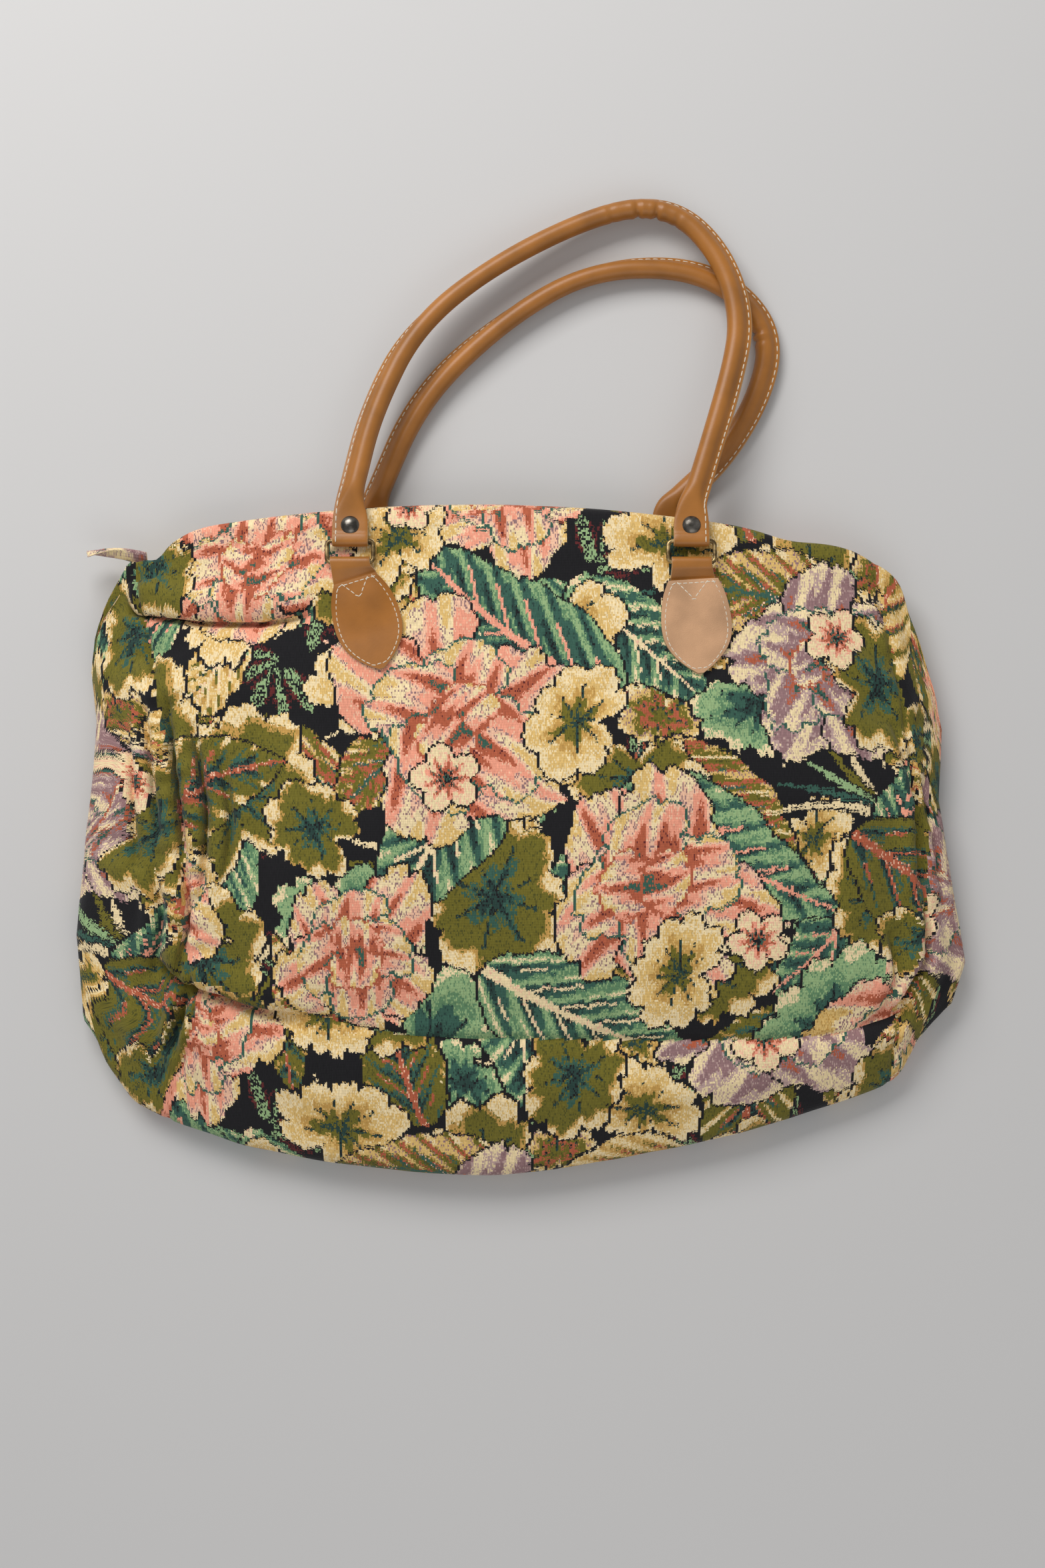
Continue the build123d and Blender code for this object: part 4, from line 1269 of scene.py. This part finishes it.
# Tabs: a leather loop round each ring's lower bar, its two ends tucked under a leaf-shaped shield that is
# sewn flat to the bag. The left shield is smooth tan leather, the right one rosy beige suede. Each is a flat
# blank laid in place, then given its thickness and softened edges.
SHIELD_LENGTH = 54.6
SHIELD_TOP = 152.0
SHIELD_LEATHER = 2.2
LOOP_LEATHER = 1.6
LOOP_TUCK = 10
HEM = 2.3
TOP_HEM = 1.6
HEM_PITCH = 3.3
HEM_STITCH = (2.9, 0.6, 0.5)
SHIELD_TURNS = {"front": (17.0, 4.0), "back": (0.0, 0.0)}
# Half width of the left and of the right shield at each drop below the straight top
SHIELD_DROPS = (0, 7.4, 15, 23, 31.5, 38.5, 45.5, 51, SHIELD_LENGTH)
SHIELD_FLANKS = {
    "left": (12.2, 15.8, 18.2, 19.5, 19.3, 17.4, 12.6, 6.8, 1.6),
    "right": (13.8, 17.0, 19.2, 20.4, 20.2, 18.2, 13.2, 7.0, 1.6),
}
golden_leather = leather_material("golden_leather", (0.335, 0.122, 0.016), 0.5, 0.3, 700, 0.10)
suede = leather_material("rosy_suede", (0.545, 0.315, 0.175), 0.95, 0.2, 1600, 0.5)
cut_leather = leather_material("cut_leather", (0.50, 0.33, 0.18), 0.8, 0.3, 1200, 0.3)
cloth_under = {}
for side in ("front", "back"):
    mesh = cloth_pieces[f"{side}_panel"].data
    corners_under = [v.co.copy() for v in mesh.vertices]
    cloth_under[side] = BVHTree.FromPolygons(corners_under, [list(p.vertices) for p in mesh.polygons])


def cloth_level(side, x, y):
    """Height in mm of the cloth under a tab."""
    sign = FACING[side]
    found = cloth_under[side].ray_cast(Vector((x * MM, y * MM, sign * far_out)), Vector((0, 0, -sign)))[0]
    return found.z / MM if found else math.nan


def leather_blank(name, columns, rows, lay, faces_down, leather, thickness, offset, edge_round, skived=None):
    """A flat blank laid by the function lay, then thickened, its edges rounded and its cut rim left raw."""
    bpy.ops.object.select_all(action="DESELECT")
    bpy.ops.mesh.primitive_grid_add(x_subdivisions=columns, y_subdivisions=rows, size=1)
    blank = bpy.context.object
    blank.name = name
    flat = np.array([tuple(v.co) for v in blank.data.vertices])
    across, down = 2 * flat[:, 0], 0.5 - flat[:, 1]
    blank.data.vertices.foreach_set("co", (lay(across, down) * MM).ravel())
    if faces_down:
        bpy.ops.object.mode_set(mode="EDIT")
        bpy.ops.mesh.select_all(action="SELECT")
        bpy.ops.mesh.flip_normals()
        bpy.ops.object.mode_set(mode="OBJECT")
    wall = blank.modifiers.new("thickness", "SOLIDIFY")
    wall.thickness = thickness * MM
    wall.offset = offset
    wall.material_offset_rim = 1
    if skived is not None:
        body = blank.vertex_groups.new(name="body")
        for index, share in enumerate(skived(down)):
            body.add([index], float(share), "REPLACE")
        wall.vertex_group = "body"
    softened = blank.modifiers.new("edges", "BEVEL")
    softened.width = edge_round * MM
    softened.segments = 3
    softened.limit_method = "ANGLE"
    softened.angle_limit = math.radians(50)
    blank.data.materials.append(leather)
    blank.data.materials.append(cut_leather)
    for modifier in ("thickness", "edges"):
        bpy.ops.object.modifier_apply(modifier=modifier)
    bpy.ops.object.shade_smooth_by_angle(angle=math.radians(40))
    return blank


def make_tab(side, end, at, plane, turn):
    """Loop, shield and stitching of one tab."""
    sign = FACING[side]
    angle = math.radians(turn)
    c, s = math.cos(angle), math.sin(angle)
    reach = TAB_BAR - SHIELD_TOP + SHIELD_LENGTH / 2
    middle = np.array((at + reach * s, TAB_BAR - reach * c))
    top = SHIELD_LENGTH / 2

    def world(points):
        x, y = np.moveaxis(np.asarray(points, float), -1, 0)
        return middle + np.stack((x * c - y * s, x * s + y * c), -1)

    # The leather is stiffer than the cloth, so it bridges its small waves
    grid = np.array([(x, y) for x in np.linspace(-18, 18, 9) for y in np.linspace(-24, 26, 11)])
    levels = np.array([cloth_level(side, *spot) for spot in world(grid)])
    known = np.isfinite(levels)

    def terms(points):
        x, y = points[..., 0] / 20, points[..., 1] / 20
        return np.stack((np.ones_like(x), x, y, x * x, x * y, y * y, y**3), -1)

    fit = np.linalg.lstsq(terms(grid[known]), levels[known], rcond=None)[0]
    rest = np.max(sign * (levels[known] - terms(grid[known]) @ fit)) * 0.7

    def bed(points):
        """Underside of the shield: on the cloth, and rising slowly over the loop's ends at the top."""
        points = np.asarray(points, float)
        hump = 2.3 * (1 - ease(np.abs(points[..., 0]), 11, 19)) * ease(points[..., 1], -8, 20)
        return terms(points) @ fit + sign * (rest + 0.15 + hump)

    flank = rounded_path(np.column_stack((SHIELD_DROPS, SHIELD_FLANKS[end])), 4)

    def lay_shield(across, down):
        drop = SHIELD_LENGTH * np.sin(0.5 * math.pi * down)
        flat = np.stack((across * np.interp(drop, flank[:, 0], flank[:, 1]), top - drop), 1)
        return np.column_stack((world(flat), bed(flat)))

    leather = golden_leather if end == "left" else suede
    title = f"{side}_{end}_shield"
    shield = leather_blank(title, 14, 34, lay_shield, sign < 0, leather, SHIELD_LEATHER, 1, 0.45)

    # Stitching all round near the edge, and a V below the straight top
    hem = [(half - HEM, top - drop) for drop, half in flank if TOP_HEM < drop < SHIELD_LENGTH - 3.4]
    corner = (hem[0][0] - 0.6, top - TOP_HEM)
    down_right = [corner] + hem + [(0, HEM * 1.4 - top)]
    all_round = np.array(down_right + [(-x, y) for x, y in down_right[-2::-1]] + [corner])
    arm = 0.72 * corner[0]
    notch = np.array(((-arm, corner[1]), (-0.4, corner[1] - 9.5), (0.9 * arm, corner[1])))
    stitches = []
    for seam in (all_round, notch):
        steps = even_path(seam, HEM_PITCH)
        for step, way in zip(steps, np.gradient(steps, axis=0)):
            way = way / np.linalg.norm(way)
            start, stop = (np.append(world(spot), bed(spot)) for spot in (step - way, step + way))
            along = (stop - start) / np.linalg.norm(stop - start)
            up = np.array((0, 0, float(sign))) - along * along[2] * sign
            place = np.append(world(step), bed(step) + sign * (SHIELD_LEATHER + 0.02))
            stitches.append((place * MM, along, up / np.linalg.norm(up)))
    sewing = sew(title + "_stitches", stitches, HEM_STITCH)

    # The loop: up from under the shield, over the ring's bar and back down behind
    axis_level = sign * plane.origin[2] / MM
    tucked = TAB_BAR - (reach - top + LOOP_TUCK) * c
    seat = sign * (terms(np.array((0.0, top - LOOP_TUCK))) @ fit) + rest
    turns = np.radians(np.linspace(-80, 100, 12))
    wrap = np.stack((TAB_BAR + WRAP_RADIUS * np.cos(turns), axis_level + WRAP_RADIUS * np.sin(turns)), 1)
    halfway = (tucked + TAB_BAR) / 2
    beneath = ((tucked, seat + 0.2), (halfway, sign * cloth_level(side, at, halfway) + 0.7))
    under_shield = sign * bed(np.array((0.0, top))) - 1.0
    above = ((TAB_BAR - 3, axis_level + 2.3), (halfway + 1, under_shield), (tucked, seat + 1.1))
    line = even_path(np.vstack((beneath, wrap, above)), 0.5)
    shares = np.linspace(0, 1, len(line))

    def lay_loop(across, down):
        y, z = (np.interp(down, shares, line[:, axis]) for axis in range(2))
        below = np.maximum(TAB_BAR - y, 0)
        half = across * (11.6 + 1.5 * ease(below, 1, 12))
        swing = angle * ease(below, 0, 10)
        x = at + half * np.cos(swing) + below * math.tan(angle)
        return np.stack((x, y + half * np.sin(swing), sign * z), 1)

    def thinned(down):
        return 0.45 + 0.55 * ease(np.minimum(down, 1 - down), 0.1, 0.24)

    title = f"{side}_{end}_loop"
    loop = leather_blank(title, 10, 60, lay_loop, sign > 0, tan_leather, LOOP_LEATHER, 0, 0.3, thinned)
    for piece in (shield, sewing, loop):
        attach(piece, "bag")
    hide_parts(f"{side}_{end}_tab_shield")
    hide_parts(f"{side}_{end}_tab_loop")


for side, plane, places in HANDLE_SIDES:
    for end, at, turn in zip(("left", "right"), places, SHIELD_TURNS[side]):
        make_tab(side, end, at, plane, turn)

# Zip: a closed brass coil on dark tapes between turned edges of the black ground cloth, with a slider and
# puller at the right end. The lips of the two panels hide it from above.


def zip_finish(name, colour, metallic, roughness):
    dark, light = shades_of(colour, 0.7, 1.25)
    return two_tone_material(name, 600, 2, (0.0, dark), (1.0, light), metallic, roughness)


ground_cloth = zip_finish("ground_cloth", (0.012, 0.011, 0.013), 0.0, 0.9)
tape_cloth = zip_finish("zip_tape", (0.02, 0.018, 0.017), 0.0, 0.85)
zip_brass = zip_finish("zip_brass", (0.46, 0.31, 0.12), 0.9, 0.35)
for nodes, material in (
    (("front_zip_facing", "back_zip_facing"), ground_cloth),
    (("front_zip_tape", "back_zip_tape"), tape_cloth),
    (("front_zip_teeth", "back_zip_teeth", "zip_end_stops", "zip_slider", "zip_puller"), zip_brass),
):
    for name in nodes:
        mesh = frame["nodes"][name].data
        mesh.materials.clear()
        mesh.materials.append(material)

# Zip end: at the upper left corner the tapes run out into a tail, a strip of the tapestry that is folded over
# them, sewn flat and twisted as the bag lies.
TAIL_ROOT = (-221.0, 166.0, 19.0)
TAIL_TIP = (-256.5, 169.5, 17.5)
TAIL_CUT = (0.352, 0.205)
TAIL_LENGTH, TAIL_GIRTH = 0.036, 0.024
tail_rows, tail_points = 30, 28
rings = []
for k in range(tail_rows):
    way = k / (tail_rows - 1)
    centre = np.array(TAIL_ROOT) * (1 - way) + np.array(TAIL_TIP) * way
    centre[1] += 2.2 * math.sin(math.pi * way)
    twist = math.radians(15 + 95 * way)
    turns = np.linspace(0, 2 * math.pi, tail_points, endpoint=False)
    half = 4.6 - 0.6 * way
    wide = half * signed_power(np.cos(turns), 0.5)
    bend = 0.9 * (wide / half) ** 2
    thick = (1.5 - 0.7 * way**3) * np.sin(turns) + bend - 0.4 + 0.5 * np.sin(2.2 * wide / half + 5 * way)
    y = centre[1] + wide * math.cos(twist) - thick * math.sin(twist)
    z = centre[2] + wide * math.sin(twist) + thick * math.cos(twist)
    rings.append(np.stack((np.full(tail_points, centre[0]) + 0.25 * wide * way, y, z), 1))
rings = np.array(rings) * MM
points, faces = skin_rings(rings)
tail = make_piece("zip_tail", points, faces, tapestry)
mesh = tail.data
cloth_layer = mesh.uv_layers.new(name="cloth")
corner_vertex = np.zeros(len(mesh.loops), int)
mesh.loops.foreach_get("vertex_index", corner_vertex)
u = TAIL_CUT[0] + (corner_vertex // tail_points) * TAIL_LENGTH / (tail_rows - 1)
v = TAIL_CUT[1] + (corner_vertex % tail_points) * TAIL_GIRTH / tail_points
cloth_layer.data.foreach_set("uv", np.stack((u, v), 1).ravel())
stitch_column, stitch_row = (np.floor(way / STITCH).astype(int) for way in (u, v))
colour_stitches(mesh, stitch_column, stitch_row, np.zeros(len(u)))
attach(tail, "bag")
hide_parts("zip_end_tab")

# Studio: a pale seamless floor, a large soft window light from beyond the handles and even fill light,
# seen from straight above as the bag was laid out.
CAMERA_HEIGHT = 1.30
CAMERA_SHIFT_Y = 0.034
bpy.ops.mesh.primitive_plane_add(size=6)
floor = bpy.context.object
floor.name = "floor"
floor_material, node, shade = new_material("pale_floor")
shade({"Base Color": (0.60, 0.585, 0.57, 1), "Roughness": 0.9})
floor.data.materials.append(floor_material)

world = bpy.data.worlds.new("studio")
bpy.context.scene.world = world
world.use_nodes = True
sky = world.node_tree.nodes["Background"]
sky.inputs["Color"].default_value = (0.95, 0.97, 1.0, 1)
sky.inputs["Strength"].default_value = 0.40


def window_light(name, place, size, watts, aim):
    lamp = bpy.data.lights.new(name, "AREA")
    lamp.shape = "RECTANGLE"
    lamp.size, lamp.size_y = size
    lamp.energy = watts
    made = bpy.data.objects.new(name, lamp)
    made.location = place
    made.rotation_euler = (Vector(aim) - Vector(place)).to_track_quat("-Z", "Y").to_euler()
    bpy.context.scene.collection.objects.link(made)


window_light("window", (-0.65, 1.4, 1.25), (1.3, 0.9), 29, (0, 0.05, 0))
window_light("fill", (0.3, -1.2, 1.6), (1.6, 1.2), 6, (0, 0, 0))

camera_data = bpy.data.cameras.new("camera")
camera_data.lens = 50
camera_data.sensor_width = 36
camera = bpy.data.objects.new("camera", camera_data)
camera.location = (0, CAMERA_SHIFT_Y, CAMERA_HEIGHT)
bpy.context.scene.collection.objects.link(camera)
bpy.context.scene.camera = camera
bpy.context.scene.view_settings.view_transform = "Standard"
